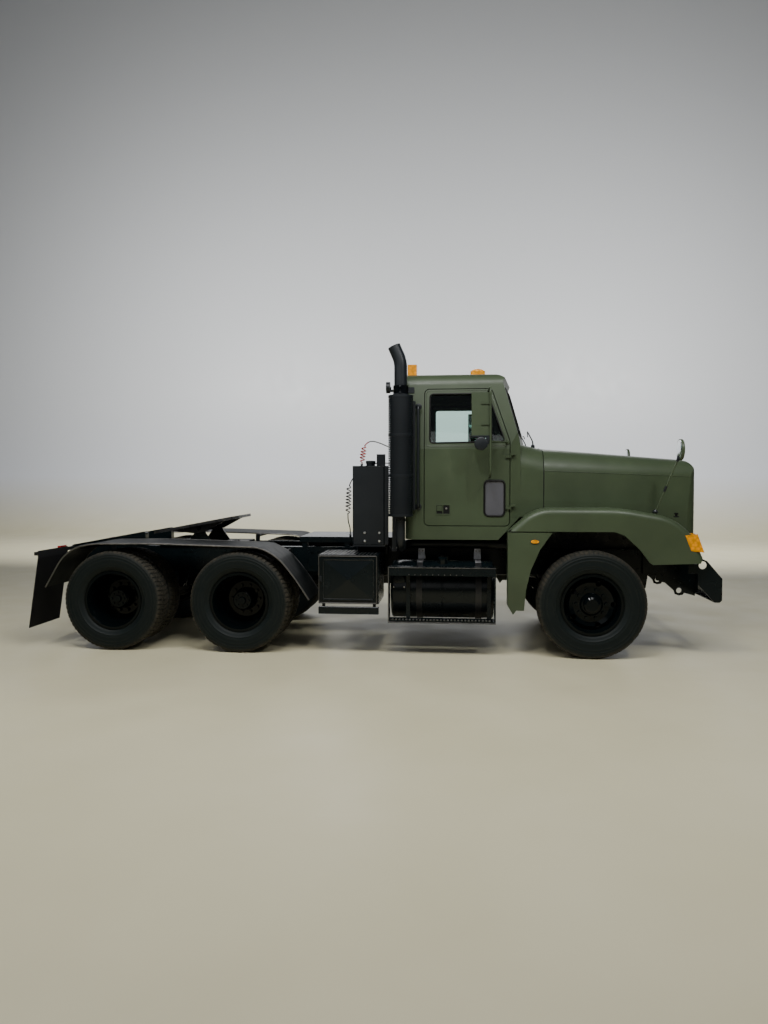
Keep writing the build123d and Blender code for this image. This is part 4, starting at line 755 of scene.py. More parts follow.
def reshape(mesh: bpy.types.Mesh, step: Callable[[bmesh.types.BMesh], object]) -> None:
    """Applies one editing step to a mesh."""
    work = bmesh.new()
    work.from_mesh(mesh)
    step(work)
    work.to_mesh(mesh)
    work.free()


def put(
    name: str,
    surface: Surface,
    finish: Finish,
    body: str,
    replaces: Sequence[str] = (),
    sharp: float = 32.0,
) -> bpy.types.Object:
    """Makes a piece of a surface, finishes it and sets it on its body.

    Args:
        name: The piece's name.
        surface: Its points and faces, in the row frame.
        finish: Its finish.
        body: The body that it rides on.
        replaces: The nodes that it stands for.
        sharp: The angle in degrees above which an edge stays sharp.

    Returns:
        The piece.
    """
    mesh = bpy.data.meshes.new(name)
    mesh.from_pydata(surface.points.tolist(), [], surface.quads.tolist() + surface.caps)
    reshape(mesh, lambda work: bmesh.ops.recalc_face_normals(work, faces=work.faces))
    mesh.shade_smooth()
    mesh.set_sharp_from_angle(angle=math.radians(sharp))
    if surface.values is not None:
        wear = mesh.attributes.new("wear", "FLOAT", "POINT")
        wear.data.foreach_set("value", surface.values.astype(np.float32))
    mesh.materials.append(finish.material())
    piece = bpy.data.objects.new(name, mesh)
    bpy.context.scene.collection.objects.link(piece)
    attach(piece, body)
    if replaces:
        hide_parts(*replaces)
    log.info("%s: %d faces on %s", name, len(mesh.polygons), body)
    return piece


class Band(Enum):
    """How deep the cross grooves cut a row of the tread, in metres."""

    LUG = 0.006
    RIB = 0.002
    FLOOR = 0.0


@dataclass(frozen=True)
class Tyre:
    """One road tyre of a given size, as a profile carried round its axle with grooves cut into it."""

    radius: float
    width: float
    pitches: int
    slant: float
    bands: tuple[tuple[float, Band], ...]
    shoulder_inset: float = 0.02
    crown_drop: float = 0.007
    channel_depth: float = 0.014

    def rows(self) -> tuple[Array, Array, Array, Array]:
        """The profile's rows from bead to bead.

        Returns:
            Places along the axle, radii, depths of the cross grooves, and wear from 0 to 1, row by row.
        """
        half = self.width / 2
        top = self.radius
        wall = [
            (0.0965, 0.290, 0.0), (0.099, 0.302, 0.05), (0.112, 0.3105, 0.12), (0.1185, 0.316, 0.05),
            (0.124, 0.330, 0.0), (half - 0.009, 0.350, 0.0), (half - 0.005, 0.354, 0.10),
            (half - 0.006, 0.359, 0.0), (half - 0.0035, 0.372, 0.0), (half - 0.001, 0.378, 0.12),
            (half - 0.0015, 0.384, 0.0), (half, top - 0.110, 0.0), (half - 0.0005, top - 0.097, 0.02),
            (half + 0.0015, top - 0.091, 0.14), (half - 0.001, top - 0.085, 0.0),
            (half - 0.002, top - 0.066, 0.0), (half, top - 0.062, 0.12), (half - 0.003, top - 0.057, 0.02),
            (half - 0.005, top - 0.044, 0.06), (half - 0.004, top - 0.040, 0.20),
            (half - 0.007, top - 0.036, 0.12),
        ]
        bands = []
        for place_mm, kind in self.bands:
            sunk = self.channel_depth if kind is Band.FLOOR else 0
            bands.append((place_mm * MM, self.crown(place_mm * MM) - sunk, kind))
        side = [(y, r, Band.FLOOR, w) for y, r, w in wall]
        side.append((half - 0.010, top - 0.019, self.bands[0][1], 0.75))
        side += [(y, r, kind, 0.25 if kind is Band.FLOOR else 0.8) for y, r, kind in bands]
        table = side + [(-y, r, kind, w) for y, r, kind, w in side[::-1]]
        place, radius, kinds, wear = zip(*table)
        return np.array(place), np.array(radius), np.array([k.value for k in kinds]), np.array(wear)

    def crown(self, place: float) -> float:
        """The tread's radius across the tyre: a flat parabola that falls by crown_drop at the shoulder."""
        return self.radius - self.crown_drop * (place / (self.width / 2 - self.shoulder_inset)) ** 2

    def surface(self, hub: Point) -> Surface:
        """The tyre about its axle.

        Each pitch has four columns: the block's start and end, and the groove floor's start and end. A row's
        angle is its column's angle, plus on grooved rows the slant times the row's distance from the middle
        over the width. Its radius is the profile's radius less the row's groove depth on floor columns.

        Args:
            hub: The middle of the tyre.

        Returns:
            The open ring from bead to bead, with its wear.
        """
        place, radius, depth, wear = self.rows()
        steps = np.array([0.02, 0.70, 0.76, 0.96])
        phase = (np.arange(self.pitches)[:, None] + steps).ravel()
        floor = np.tile([0.0, 0.0, 1.0, 1.0], self.pitches)
        twist = np.where(depth > 0, self.slant * np.abs(place) / self.width, 0)
        angle = (phase[None] + twist[:, None]) * 2 * math.pi / self.pitches
        reach = radius[:, None] - depth[:, None] * floor[None]
        across = np.broadcast_to(place[:, None], angle.shape)
        points = np.stack([reach * np.cos(angle), across, reach * np.sin(angle)], -1)
        made = grid(points + np.asarray(hub), wrap_columns=True)
        made.values = (wear[:, None] * (1 - 0.6 * floor[None])).ravel()
        return made


STEER_TYRE = Tyre(0.527, 0.280, 72, 0.0, (
    (112, Band.RIB), (76, Band.RIB), (74, Band.FLOOR), (65, Band.FLOOR), (63, Band.RIB), (29, Band.RIB),
    (27, Band.FLOOR), (19, Band.FLOOR), (17, Band.RIB),
))
DRIVE_TYRE = Tyre(0.510, 0.285, 66, 0.9, (
    (118, Band.LUG), (72, Band.LUG), (70, Band.FLOOR), (61, Band.FLOOR), (59, Band.LUG), (16, Band.LUG),
    (14, Band.FLOOR), (7, Band.FLOOR), (5, Band.RIB),
))


@dataclass
class RoadWheels:
    """The ten treaded tyres, two to a hub at the back, and dark rings behind the front hand holes as painted
    shade.
    """

    front_x: float = 2.230
    front_y: float = 1.040
    front_z: float = 0.527
    rear_x: tuple[tuple[str, float], ...] = (("middle", -1.260), ("rear", -2.580))
    rear_y: Pair = (1.078, 0.748)
    rear_z: float = 0.510
    sharp: float = 40.0

    def build(self) -> None:
        """Makes the tyres of each wheel body, and the dark ring between drum and rim behind the hand holes,
        painted shade for the wheel's dark inside.
        """
        # Painted shade: a dark rubber ring between drum and rim blocks the view through the hand holes,
        # standing for the shade inside the wheel.
        shade_ring = lathe([(0.0, 0.221), (0.0, 0.256), (0.004, 0.256), (0.004, 0.221)],
                       (self.front_x, -self.front_y + 0.016, self.front_z), Axis.Y, 48)
        for side in Side:
            word = side.word
            front = f"wheel_front_{word}"
            put(f"brake_shield_{word}", side.of(shade_ring), SEAL, front)
            hub = (self.front_x, side.value * self.front_y, self.front_z)
            tyre = STEER_TYRE.surface(hub)
            put(f"tread_front_{word}", tyre, TYRE, front, (f"front_tyre_{word}",), self.sharp)
            for axle, x in self.rear_x:
                pair = together(DRIVE_TYRE.surface((x, side.value * y, self.rear_z)) for y in self.rear_y)
                old = (f"{axle}_tyres_{word}",)
                put(f"tread_{axle}_{word}", pair, TYRE, f"wheel_{axle}_{word}", old, self.sharp)


# The stack's upright axis, which the guard and the clamps share.
STACK_X = 0.365
STACK_Y = -1.120


@dataclass
class StackGuard:
    """The perforated guard round the muffler, with its end bands."""

    low: float = 1.380
    high: float = 2.571
    radius: float = 0.1225
    around: int = 34
    rows: int = 54
    hole: float = 0.33

    def sheet(self) -> Surface:
        """The sheet as cells with a round hole each, every second row shifted by half a cell.

        A cell's eight outer points are its corners and the middles of its sides, and its eight inner points
        lie on a circle. A point at (u, v) cells stands at the angle 2 pi u / around and the height low + v
        pitch.

        Returns:
            The holed sheet.
        """
        outer = np.array([(-.5, -.5), (0, -.5), (.5, -.5), (.5, 0), (.5, .5), (0, .5), (-.5, .5), (-.5, 0)])
        t = np.arange(8) * math.pi / 4 - 3 * math.pi / 4
        inner = self.hole * np.stack([np.cos(t), np.sin(t)], 1)
        j, i = np.meshgrid(np.arange(self.rows), np.arange(self.around), indexing="ij")
        centre = np.stack([i + 0.5 * (j % 2), j + 0.5], -1).reshape(-1, 1, 1, 2)
        cells = centre + np.stack([outer, inner])[None]
        angle = cells[..., 0] * 2 * math.pi / self.around
        height = self.low + cells[..., 1] * (self.high - self.low) / self.rows
        across = STACK_Y + self.radius * np.sin(angle)
        points = np.stack([STACK_X + self.radius * np.cos(angle), across, height], -1)
        k = np.arange(8)
        one = np.stack([k, (k + 1) % 8, (k + 1) % 8 + 8, k + 8], 1)
        quads = (one[None] + 16 * np.arange(self.rows * self.around)[:, None, None]).reshape(-1, 4)
        return Surface(points.reshape(-1, 3), quads)

    def build(self) -> None:
        """Makes the sheet and its bands in place of the plain guard."""
        hoop_section = [(-0.012, 0.1215), (-0.010, 0.124), (0.010, 0.124), (0.012, 0.1215)]
        bands = [
            lathe(hoop_section, (STACK_X, STACK_Y, z), Axis.Z, 48)
            for z in (self.low + 0.012, 1.78, 2.18, self.high - 0.012)
        ]
        sheet = put("guard_sheet", self.sheet(), SATIN, "chassis", ("muffler_guard",))
        reshape(sheet.data, lambda work: bmesh.ops.remove_doubles(work, verts=work.verts, dist=0.0002))
        put("guard_bands", together(bands), SATIN, "chassis")


@dataclass
class AirLine:
    """A parked air line to the trailer: a hose that runs into a loose coil, and on into its gland."""

    name: str
    finish: Finish
    route: tuple[Point, ...]
    coil_top: float
    coil_foot: float
    turns: float
    radius: float = 0.006
    reach: float = 0.0265
    steps: int = 30

    def axis_line(self) -> Array:
        """The smooth line through the route, read from its NURBS spline without a bevel."""
        curve = bpy.data.curves.new(f"{self.name}_route", "CURVE")
        curve.dimensions = "3D"
        curve.resolution_u = 40
        spline = curve.splines.new("NURBS")
        spline.points.add(len(self.route) - 1)
        spline.points.foreach_set("co", np.array([(*p, 1.0) for p in self.route], np.float32).ravel())
        spline.order_u = 3
        spline.use_endpoint_u = True
        holder = bpy.data.objects.new(curve.name, curve)
        mesh = bpy.data.meshes.new_from_object(holder)
        line = np.empty(3 * len(mesh.vertices), np.float32)
        mesh.vertices.foreach_get("co", line)
        bpy.data.objects.remove(holder)
        bpy.data.meshes.remove(mesh)
        bpy.data.curves.remove(curve)
        return line.reshape(-1, 3).astype(float)

    def path(self) -> tuple[Array, Array]:
        """The hose's middle line: the spline itself, then a helix about it.

        With w from 0 at the coil's top to 1 at its foot, the angle is 2 pi turns (w - 0.035 sin 2 pi w). The
        line stands off the spline by the reach times 1 - 0.06 (1 + sin 9 w), which grows from nothing over
        the first turn and shrinks to nothing over the last.

        Returns:
            The points of the line, and the outward direction at each.
        """
        line = self.axis_line()
        along = np.concatenate([[0.0], np.cumsum(np.linalg.norm(np.diff(line, axis=0), axis=1))])
        falling = slice(int(np.argmax(line[:, 2])), None)
        start, end = np.interp([-self.coil_top, -self.coil_foot], -line[falling, 2], along[falling])
        stations = np.concatenate([
            np.linspace(0, start, 60, endpoint=False),
            np.linspace(start, end, int(self.turns * self.steps), endpoint=False),
            np.linspace(end, along[-1], 24),
        ])
        axis = np.stack([np.interp(stations, along, line[:, k]) for k in range(3)], 1)
        tangent = unit(np.gradient(axis, axis=0))
        first = unit(np.cross(Axis.Y.vector(), tangent))
        second = np.cross(tangent, first)
        w = np.clip((stations - start) / (end - start), 0, 1)
        angle = 2 * math.pi * self.turns * (w - 0.035 * np.sin(2 * math.pi * w))
        ramp = np.clip(np.minimum(w, 1 - w) * self.turns, 0, 1)
        ramp = ramp**2 * (3 - 2 * ramp)
        outward = first * np.cos(angle)[:, None] + second * np.sin(angle)[:, None]
        reach = self.reach * ramp * (1 - 0.06 * (1 + np.sin(9 * w)))
        return axis + reach[:, None] * outward, outward

    def build(self) -> None:
        line, outward = self.path()
        hose = tube(line, self.radius, 12, outward)
        piece = put(f"{self.name}_hose", hose, self.finish, "chassis", (self.name,))
        nuts = together([
            heads([line[0] + (0.016, 0, 0)], (-1, 0, 0), 0.0155, 0.019),
            heads([line[-1] - (0, 0, 0.004)], (0, 0, 1), 0.0145, 0.016),
        ])
        put(f"{self.name}_nuts", nuts, STEEL, "chassis")


RED_LINE = AirLine("air_line_red", HOSE_RED, (
    (0.384, -0.550, 2.050), (0.318, -0.550, 2.050), (0.206, -0.550, 2.086), (0.090, -0.550, 2.140),
    (0.000, -0.550, 2.158), (-0.063, -0.550, 2.112), (-0.072, -0.550, 2.050), (-0.086, -0.550, 1.975),
    (-0.092, -0.550, 1.905),
), 2.112, 1.916, 5.5)
BLACK_LINE = AirLine("air_line_black", HOSE_BLACK, (
    (0.384, -0.446, 1.900), (0.300, -0.446, 1.900), (0.180, -0.446, 1.925), (0.030, -0.446, 1.922),
    (-0.090, -0.442, 1.880), (-0.180, -0.436, 1.795), (-0.246, -0.430, 1.692), (-0.252, -0.427, 1.575),
    (-0.258, -0.423, 1.460), (-0.262, -0.420, 1.354), (-0.259, -0.411, 1.282), (-0.240, -0.380, 1.212),
    (-0.240, -0.380, 1.139),
), 1.690, 1.362, 8.0)


def signed_power(value: Array, exponent: float) -> Array:
    """The power of the value's size, with the value's sign."""
    return np.sign(value) * np.abs(value) ** exponent


@dataclass
class Seats:
    """The two seats: a padded cushion and back each, with sewn channels and welts, on a bellows."""

    places: tuple[tuple[str, float], ...] = (("right", -0.48), ("left", 0.48))
    cushion_half: Point = (0.224, 0.248, 0.074)
    back_half: Point = (0.335, 0.244, 0.062)
    back_lean: float = 83.6
    square: float = 0.3

    def pad(self, half: Point, channels: int, segments: tuple[int, int] = (44, 104)) -> Surface:
        """A crowned closed pad about the origin, flat below.

        With p and q round the pad, X, Y and Z are the half sizes times c(p) c(q), c(p) s(q) and s(p), where c
        and s are the signed powers 0.3 of cosine and sine (0.45 for Z). The sides pull in by 5 per cent of
        1 - (y/b)^2 or 1 - (x/a)^2, the top is crowned by 1 - 0.15 ((x/a)^2 + (y/b)^2), and each channel sinks
        a groove of 11 mm times exp(-(y - y_i)^2 / w^2), with w of 7 mm, into it.

        Args:
            half: The half sizes along X, Y and Z.
            channels: How many sewn grooves run along X.
            segments: Steps over and round the pad.

        Returns:
            The pad.
        """
        p = np.linspace(-math.pi / 2, math.pi / 2, segments[0])[:, None]
        q = np.linspace(0, 2 * math.pi, segments[1], endpoint=False)[None]
        a, b, c = half
        x = signed_power(np.cos(p), self.square) * signed_power(np.cos(q), self.square)
        y = signed_power(np.cos(p), self.square) * signed_power(np.sin(q), self.square)
        z = signed_power(np.sin(p), 0.45) * np.ones_like(q)
        crown = 1 - 0.15 * (x**2 + y**2)
        sink = sum(np.exp(-((y - at) * b / 0.007) ** 2) for at in np.linspace(-1, 1, channels + 2)[1:-1])
        edge = np.clip(1.6 * (1 - np.abs(x)), 0, 1)
        top = c * z * crown - 0.011 * sink * edge * (z > 0.2)
        flat = np.where(z > 0, top, 0.55 * c * z)
        points = np.stack([a * x * (1 - 0.05 * (1 - y**2)), b * y * (1 - 0.05 * (1 - x**2)), flat], -1)
        return grid(points, wrap_columns=True)

    def welt(self, half: Point, lift: float) -> Surface:
        """The piped seam round a pad, at a share of its half height."""
        q = np.linspace(0, 2 * math.pi, 96, endpoint=False)
        across, along = signed_power(np.cos(q), self.square), signed_power(np.sin(q), self.square)
        x = half[0] * across * (1 - 0.05 * (1 - along**2)) * 0.985
        y = half[1] * along * (1 - 0.05 * (1 - across**2)) * 0.985
        return hoop(np.stack([x, y, np.full_like(q, half[2] * lift)], 1), 0.0045, 8)

    def bellows(self) -> Surface:
        """The pleated boot of the seat's post: a rounded square that swings by 9 mm from fold to fold."""
        outline = rounded(rectangle((-0.15, -0.15), (0.15, 0.15)), 0.05, 5)
        folds = 19
        heights = np.linspace(1.20, 1.485, folds)
        swing = 1 - 0.06 * (np.arange(folds) % 2)
        level = np.broadcast_to(heights[:, None, None], (folds, len(outline), 1))
        rings = np.concatenate([outline[None] * swing[:, None, None], level], -1)
        return grid(rings, wrap_columns=True, capped=True)

    def build(self) -> None:
        """Makes the seats on the chassis."""
        origin = (0, 0, 0)
        shell_side = rounded(((0.505, 1.63), (0.555, 1.63), (0.535, 2.22), (0.500, 2.22)), 0.012, 3)
        for word, y in self.places:
            seat_at, back_at = (0.866, y, 1.524), (0.606, y, 1.922)
            seat = self.pad(self.cushion_half, 3).moved(seat_at)
            back = self.pad(self.back_half, 3).turned(origin, self.back_lean).moved(back_at)
            cushion = put(f"seat_cushion_{word}", seat, CLOTH, "chassis", ("seats",))
            rest = put(f"seat_back_{word}", back, CLOTH, "chassis", ("seats",))
            welts = [
                self.welt(self.cushion_half, 0.62).moved(seat_at),
                self.welt(self.back_half, 0.6).turned(origin, self.back_lean).moved(back_at),
            ]
            shell = plate(shell_side, Axis.Y, (y - 0.21, y + 0.21), 0.01)
            pan = bar((0.66, y - 0.22, 1.470), (1.07, y + 0.22, 1.492), 0.006)
            put(f"seat_welts_{word}", together(welts), VINYL, "chassis")
            put(f"seat_shell_{word}", together([shell, pan]), PLASTIC, "chassis")
            put(f"seat_bellows_{word}", self.bellows().moved((0.866, y, 0)), VINYL, "chassis")


# Fittings


def cab_side(x: Array, z: Array) -> Array:
    """How far out the right cab side stands at a place: 1.0 m, less above the belt and ahead of the hinge."""
    return -(1.0 - np.clip(z - 2.05, 0, None) * 0.092 / 0.64 - np.clip(x - 1.43, 0, None) * 0.095 / 0.35)


@dataclass
class DoorTrim:
    """One door's window rubbers, seals, beads, handle and mirror, and the pane of the peep window."""

    side: Side
    window: tuple[Pair, ...] = ((0.648, 2.110), (1.392, 2.122), (1.224, 2.604), (0.648, 2.604))
    outline: tuple[Pair, ...] = (
        (0.597, 1.286), (1.439, 1.286), (1.439, 2.121), (1.259, 2.650), (0.597, 2.650),
    )
    frame: tuple[Pair, ...] = ((0.612, 2.072), (1.428, 2.072), (1.247, 2.638), (0.612, 2.638))
    peep: tuple[Pair, ...] = rectangle((1.192, 1.383), (1.391, 1.735))
    peep_pane: tuple[Pair, ...] = rectangle((1.198, 1.389), (1.386, 1.729))
    round_mirror: Pair = (1.150, 2.090)

    def on_skin(self, x: Array, z: Array, proud: float) -> Array:
        """Points of a line on the cab's side, proud of it by the given amount."""
        return np.stack([x, cab_side(x, z) - proud, z], 1)

    def ring(self, corners: Sequence[Pair], reach: float, radius: float, proud: float) -> Surface:
        """A rubber bead round an opening, on the cab's side."""
        line = rounded(corners, reach)
        return hoop(self.on_skin(line[:, 0], line[:, 1], proud), radius)

    def band(self, edges: Sequence[tuple[Array, float]]) -> Surface:
        """A closed band through outlines in X and Z, each at its own depth under the cab's skin."""
        rows = [self.on_skin(line[:, 0], line[:, 1], -depth) for line, depth in edges]
        return grid(np.stack(rows, 1), wrap_rows=True, wrap_columns=True)

    def sill_seal(self) -> Surface:
        """The flat rubber inside the cab that closes the door's gap.

        The door's outline is moved 12 mm out and 16 mm in along its own normals, and the band between is laid
        from 52 to 58 mm under the cab's skin.
        """
        line = rounded(self.outline, 0.05)
        run = np.roll(line, -1, 0) - np.roll(line, 1, 0)
        normal = np.stack([run[:, 1], -run[:, 0]], 1) / np.linalg.norm(run, axis=1, keepdims=True)
        outer, inner = line + normal * 0.012, line - normal * 0.016
        return self.band(((outer, 0.052), (outer, 0.058), (inner, 0.058), (inner, 0.052)))

    def liner(self, corners: Sequence[Pair], reach: float) -> Surface:
        """The rubber lining of an opening, from 2 to 50 mm under the skin and 1.2 per cent smaller inside."""
        line = rounded(corners, reach)
        inner = line + (line.mean(axis=0) - line) * 0.012
        return self.band(((line, 0.002), (line, 0.050), (inner, 0.050), (inner, 0.002)))

    def rubber(self) -> Surface:
        """The beads and liners of the openings, and the quarter-light's bar."""
        parts = [self.ring(self.window, 0.04, 0.0075, 0.001), self.liner(self.window, 0.04)]
        if self.side is Side.RIGHT:
            parts += [self.ring(self.peep, 0.05, 0.0095, 0.002), self.liner(self.peep, 0.05)]
        post = self.on_skin(np.array([1.262, 1.258, 1.252]), np.array([2.118, 2.35, 2.600]), -0.008)
        return together([*parts, tube(post, 0.009, 8, (1, 0, 0))])

    def beads(self) -> Surface:
        """The pressed bead under the window and the one round its frame."""
        belt = self.on_skin(np.linspace(0.615, 1.425, 12), np.full(12, 2.083), 0.0)
        return together([tube(belt, 0.0045, 8), self.ring(self.frame, 0.045, 0.0035, 0.0)])

    def handle(self) -> Surface:
        """The recessed pull: a frame round two cells, and a paddle in one."""
        frame_bars = [
            bar((x0, -1.005, z0), (x1, -0.998, z1))
            for x0, z0, x1, z1 in (
                (0.706, 1.488, 0.858, 1.499), (0.706, 1.391, 0.858, 1.402), (0.706, 1.402, 0.717, 1.488),
                (0.847, 1.402, 0.858, 1.488),
            )
        ]
        frame_bars.append(bar((0.776, -1.004, 1.402), (0.784, -0.998, 1.488)))
        paddle = rounded(rectangle((0.722, 1.430), (0.771, 1.484)), 0.006)
        return together([*frame_bars, plate(paddle, Axis.Y, (-1.008, -1.001), 0.002)])

    def mirror_stay(self) -> Surface:
        """The mirror's stay and its foot on the door."""
        stay = tube(np.array([(1.240, -1.250, 2.108), (1.33, -1.135, 2.110), (1.415, -1.004, 2.112)]), 0.008)
        return together([stay, heads([(1.418, -0.992, 2.112)], (0, -1, 0), 0.022, 0.012, 16)])

    def mirror_head(self) -> Surface:
        """The shell of the round mirror."""
        profile = [(-0.034, 0.052), (-0.030, 0.062), (-0.024, 0.0645), (0.010, 0.0645), (0.012, 0.060)]
        x, z = self.round_mirror
        return lathe(profile, (x, -1.216, z), Axis.Y, 40)

    def mirror_bracket(self) -> Surface:
        """The clamp between the long mirror and the round one, with its bolts."""
        return together([
            bar((1.062, -1.244, 2.146), (1.246, -1.232, 2.168), 0.003),
            bar((1.196, -1.246, 2.086), (1.246, -1.222, 2.150), 0.004),
            heads([(1.085, -1.244, 2.157), (1.222, -1.246, 2.118)], (0, -1, 0), 0.009, 0.007),
        ])

    def mirror_glass(self) -> Surface:
        """The glasses of the long mirror and of the round one."""
        outline = rounded(rectangle((1.070, 2.175), (1.222, 2.569)), 0.02)
        profile = [(0.0, 0.057), (0.003, 0.055), (0.006, 0.03), (0.007, 0.008)]
        x, z = self.round_mirror
        long_glass = plate(outline, Axis.Y, (-1.197, -1.1935), 0.001)
        return together([long_glass, lathe(profile, (x, -1.206, z), Axis.Y, 40)])

    def add(self, name: str, right: Surface, finish: Finish, body: str | None = None) -> None:
        """Puts a right-hand surface on this side's door, or on another body."""
        word = self.side.word
        put(f"{name}_{word}", self.side.of(right), finish, body or f"door_{word}")

    def build(self) -> None:
        """Makes the door's trim on its body, and the seal on the chassis."""
        self.add("door_rubber", self.rubber(), SEAL)
        self.add("sill_seal", self.sill_seal(), SEAL, "chassis")
        if self.side is Side.RIGHT:
            pane = plate(rounded(self.peep_pane, 0.045), Axis.Y, (-0.997, -0.992), 0.001)
            put("peep_pane", pane, FROST, "door_right")
        self.add("door_beads", self.beads(), GREEN)
        self.add("door_handle", self.handle(), GREEN)
        self.add("door_handle_well", bar((0.717, -1.0015, 1.402), (0.847, -0.999, 1.488), 0.0005), SEAL)
        self.add("door_lock", heads([(0.815, -1.0, 1.455)], (0, -1, 0), 0.011, 0.006, 16), STEEL)
        self.add("mirror_stay", self.mirror_stay(), GREEN)
        # Painted shade: the round mirror's shell takes the black satin paint, though the real shell is dark
        # green; the black stands for the shadow it sits in.
        self.add("mirror_shells_painted_shade", self.mirror_head(), SATIN)
        self.add("mirror_brackets", self.mirror_bracket(), SATIN)
        self.add("mirror_glass", self.mirror_glass(), SILVER)


@dataclass
class Windscreen:
    """The rubber round the windscreen's two panes and the rear window, and the two wipers."""

    base: Point = (1.652, 0.0, 2.150)
    corners: tuple[Pair, ...] = ((0.038, 0.050), (0.868, 0.050), (0.806, 0.548), (0.038, 0.548))

    def on_pane(self, across: Array, up: Array, proud: float) -> Array:
        """Points of the right pane's face: base + across a + up b + proud n, all three of unit length."""
        a = unit(np.array([-0.12, -1.0, 0.0]))
        n = unit(np.cross(a, (-0.170, 0.0, 0.572)))
        n *= np.sign(n[0])
        b = np.cross(n, a)
        b *= np.sign(b[2])
        return np.asarray(self.base) + np.outer(across, a) + np.outer(up, b) + proud * n

    def build(self) -> None:
        """Makes the rubbers and the wipers on the chassis."""
        line = rounded(self.corners, 0.045)
        pane = hoop(self.on_pane(line[:, 0], line[:, 1], 0.001), 0.008)
        rear = rim(rounded(rectangle((-0.45, 2.12), (0.45, 2.54)), 0.055), 0.399, 0.008)
        rear.points = rear.points[:, [1, 0, 2]]
        put("window_rubbers", together([both(pane), rear]), SEAL, "chassis")
        arms, blades = [], []
        for root_y in (-0.62, 0.20):
            path = bent([(1.700, root_y, 2.070), (1.700, root_y, 2.135), (1.640, root_y - 0.01, 2.245),
                         (1.665, root_y + 0.20, 2.195)], 0.03)
            pivot = (1.700, root_y, 2.075)
            arms.append(tube(path, np.linspace(0.008, 0.0045, len(path)), 8, (0.3, 1, 0.2)))
            arms.append(lathe([(-0.02, 0.02), (0.02, 0.02), (0.03, 0.012)], pivot, Axis.Z, 16))
            edge = np.linspace(root_y - 0.02, root_y + 0.42, 14)
            bow = 0.01 * np.sin(np.linspace(0, math.pi, 14))
            blade = np.stack([1.668 - 0.12 * np.abs(edge) + 0.006, edge, 2.188 + bow], 1)
            blades.append(tube(blade, 0.0055, 6))
        put("wiper_arms", together(arms), SATIN, "chassis")
        put("wiper_blades", together(blades), SEAL, "chassis")


@dataclass
class HoodTrim:
    """The hood's side crease, its rear rubber and latches, and its mirrors' clamps, feet and glass."""

    stations: tuple[tuple[float, float, float], ...] = ((1.790, 0.890, 1.833), (3.300, 0.596, 1.774))

    def build(self) -> None:
        """Makes the hood's trim on its body."""
        crease = tube(np.array([(x, -y, z) for x, y, z in self.stations]), 0.003, 8)
        put("hood_crease", both(crease), GREEN, "hood")
        seal_line = np.array([(1.786, -0.903, 1.37), (1.786, -0.897, 1.60), (1.786, -0.888, 1.833),
                              (1.786, -0.80, 1.975), (1.786, -0.655, 2.048), (1.786, -0.33, 2.074),
                              (1.786, 0.0, 2.080)])
        seal = tube(seal_line, 0.006, 8, (1, 0, 0))
        put("hood_rear_rubber", both(seal), SEAL, "hood")
        strap = bar((3.055, -0.905, 1.372), (3.100, -0.865, 1.384), 0.003)
        knob = lathe([(0, 0.012), (0.018, 0.012), (0.024, 0.02), (0.034, 0.02), (0.038, 0.012)],
                     (3.078, -0.885, 1.378), Axis.Z, 16)
        put("hood_latches", both(together([strap, knob])), SEAL, "hood")
        sleeve = tube(np.array([(2.900, -1.111, 1.629), (2.918, -1.1175, 1.680)]), 0.013, 12)
        elbow = tube(np.array([(3.006, -1.148, 1.918), (3.018, -1.152, 1.968)]), 0.013, 12)
        foot = lathe([(0.0, 0.032), (0.006, 0.032), (0.010, 0.024), (0.026, 0.016)],
                     (2.825, -1.085, 1.428), Axis.Z, 20)
        glass = lathe([(-0.001, 0.094), (-0.004, 0.088), (-0.008, 0.045), (-0.009, 0.01)],
                      (3.022, -1.155, 2.026), Axis.X, 40)
        put("hood_mirror_clamps", both(together([sleeve, elbow, foot])), SATIN, "hood")
        put("hood_mirror_glass", both(glass), SILVER, "hood")


@dataclass
class RoofLamps:
    """Domed amber covers on the five roof lamps, and the ribs of the beacon."""

    places: tuple[float, ...] = (-0.620, -0.150, 0.0, 0.150, 0.620)

    def dome(self, centre: Point, half: Point) -> Surface:
        """Half an ellipsoid: centre + (a cos v cos u, b cos v sin u, c sin v), with v up to a right angle."""
        u = np.linspace(0, 2 * math.pi, 25)[:-1]
        v = np.linspace(-0.12, math.pi / 2 - 0.08, 8)[:, None]
        a, b, c = half
        points = np.stack([a * np.cos(v) * np.cos(u), b * np.cos(v) * np.sin(u), c * np.sin(v) + 0 * u], -1)
        return grid(points + np.asarray(centre), wrap_columns=True, capped=True)

    def build(self) -> None:
        """Makes the covers and ribs on the chassis."""
        domes = [self.dome((1.130, y, 2.862), (0.071, 0.036, 0.030)) for y in self.places]
        starts = np.linspace(0.418, 0.487, 5)
        ribs = [bar((x, -0.7492, 2.800), (x + 0.007, -0.7465, 2.922), 0.001) for x in starts]
        put("roof_lamp_covers", together(domes + ribs), AMBER, "chassis")


@dataclass
class EarGussets:
    """The black plates that stiffen the bumper's ears, below and inside the fenders' front corners."""

    outline: tuple[Pair, ...] = (
        (3.150, 0.835), (3.150, 0.905), (3.172, 0.928), (3.234, 0.928), (3.262, 0.882), (3.262, 0.835),
    )

    def build(self) -> None:
        """Makes the plates on the chassis."""
        put("ear_gussets", both(plate(self.outline, Axis.Y, (-1.059, -1.049), 0.002)), CHASSIS, "chassis")


@dataclass
class QuarterSeals:
    """The rubber strip behind the seam between each quarter panel and the hood's fender."""

    section: tuple[Pair, ...] = (
        (-1.161, 1.190), (-1.161, 1.224), (-1.154, 1.229), (-1.154, 1.256), (-1.147, 1.256), (-1.147, 1.190),
    )

    def build(self) -> None:
        """Makes the strips on the chassis."""
        strip = plate(self.section, Axis.X, (1.430, 1.800), 0.001)
        put("quarter_seals", both(strip), SEAL, "chassis")


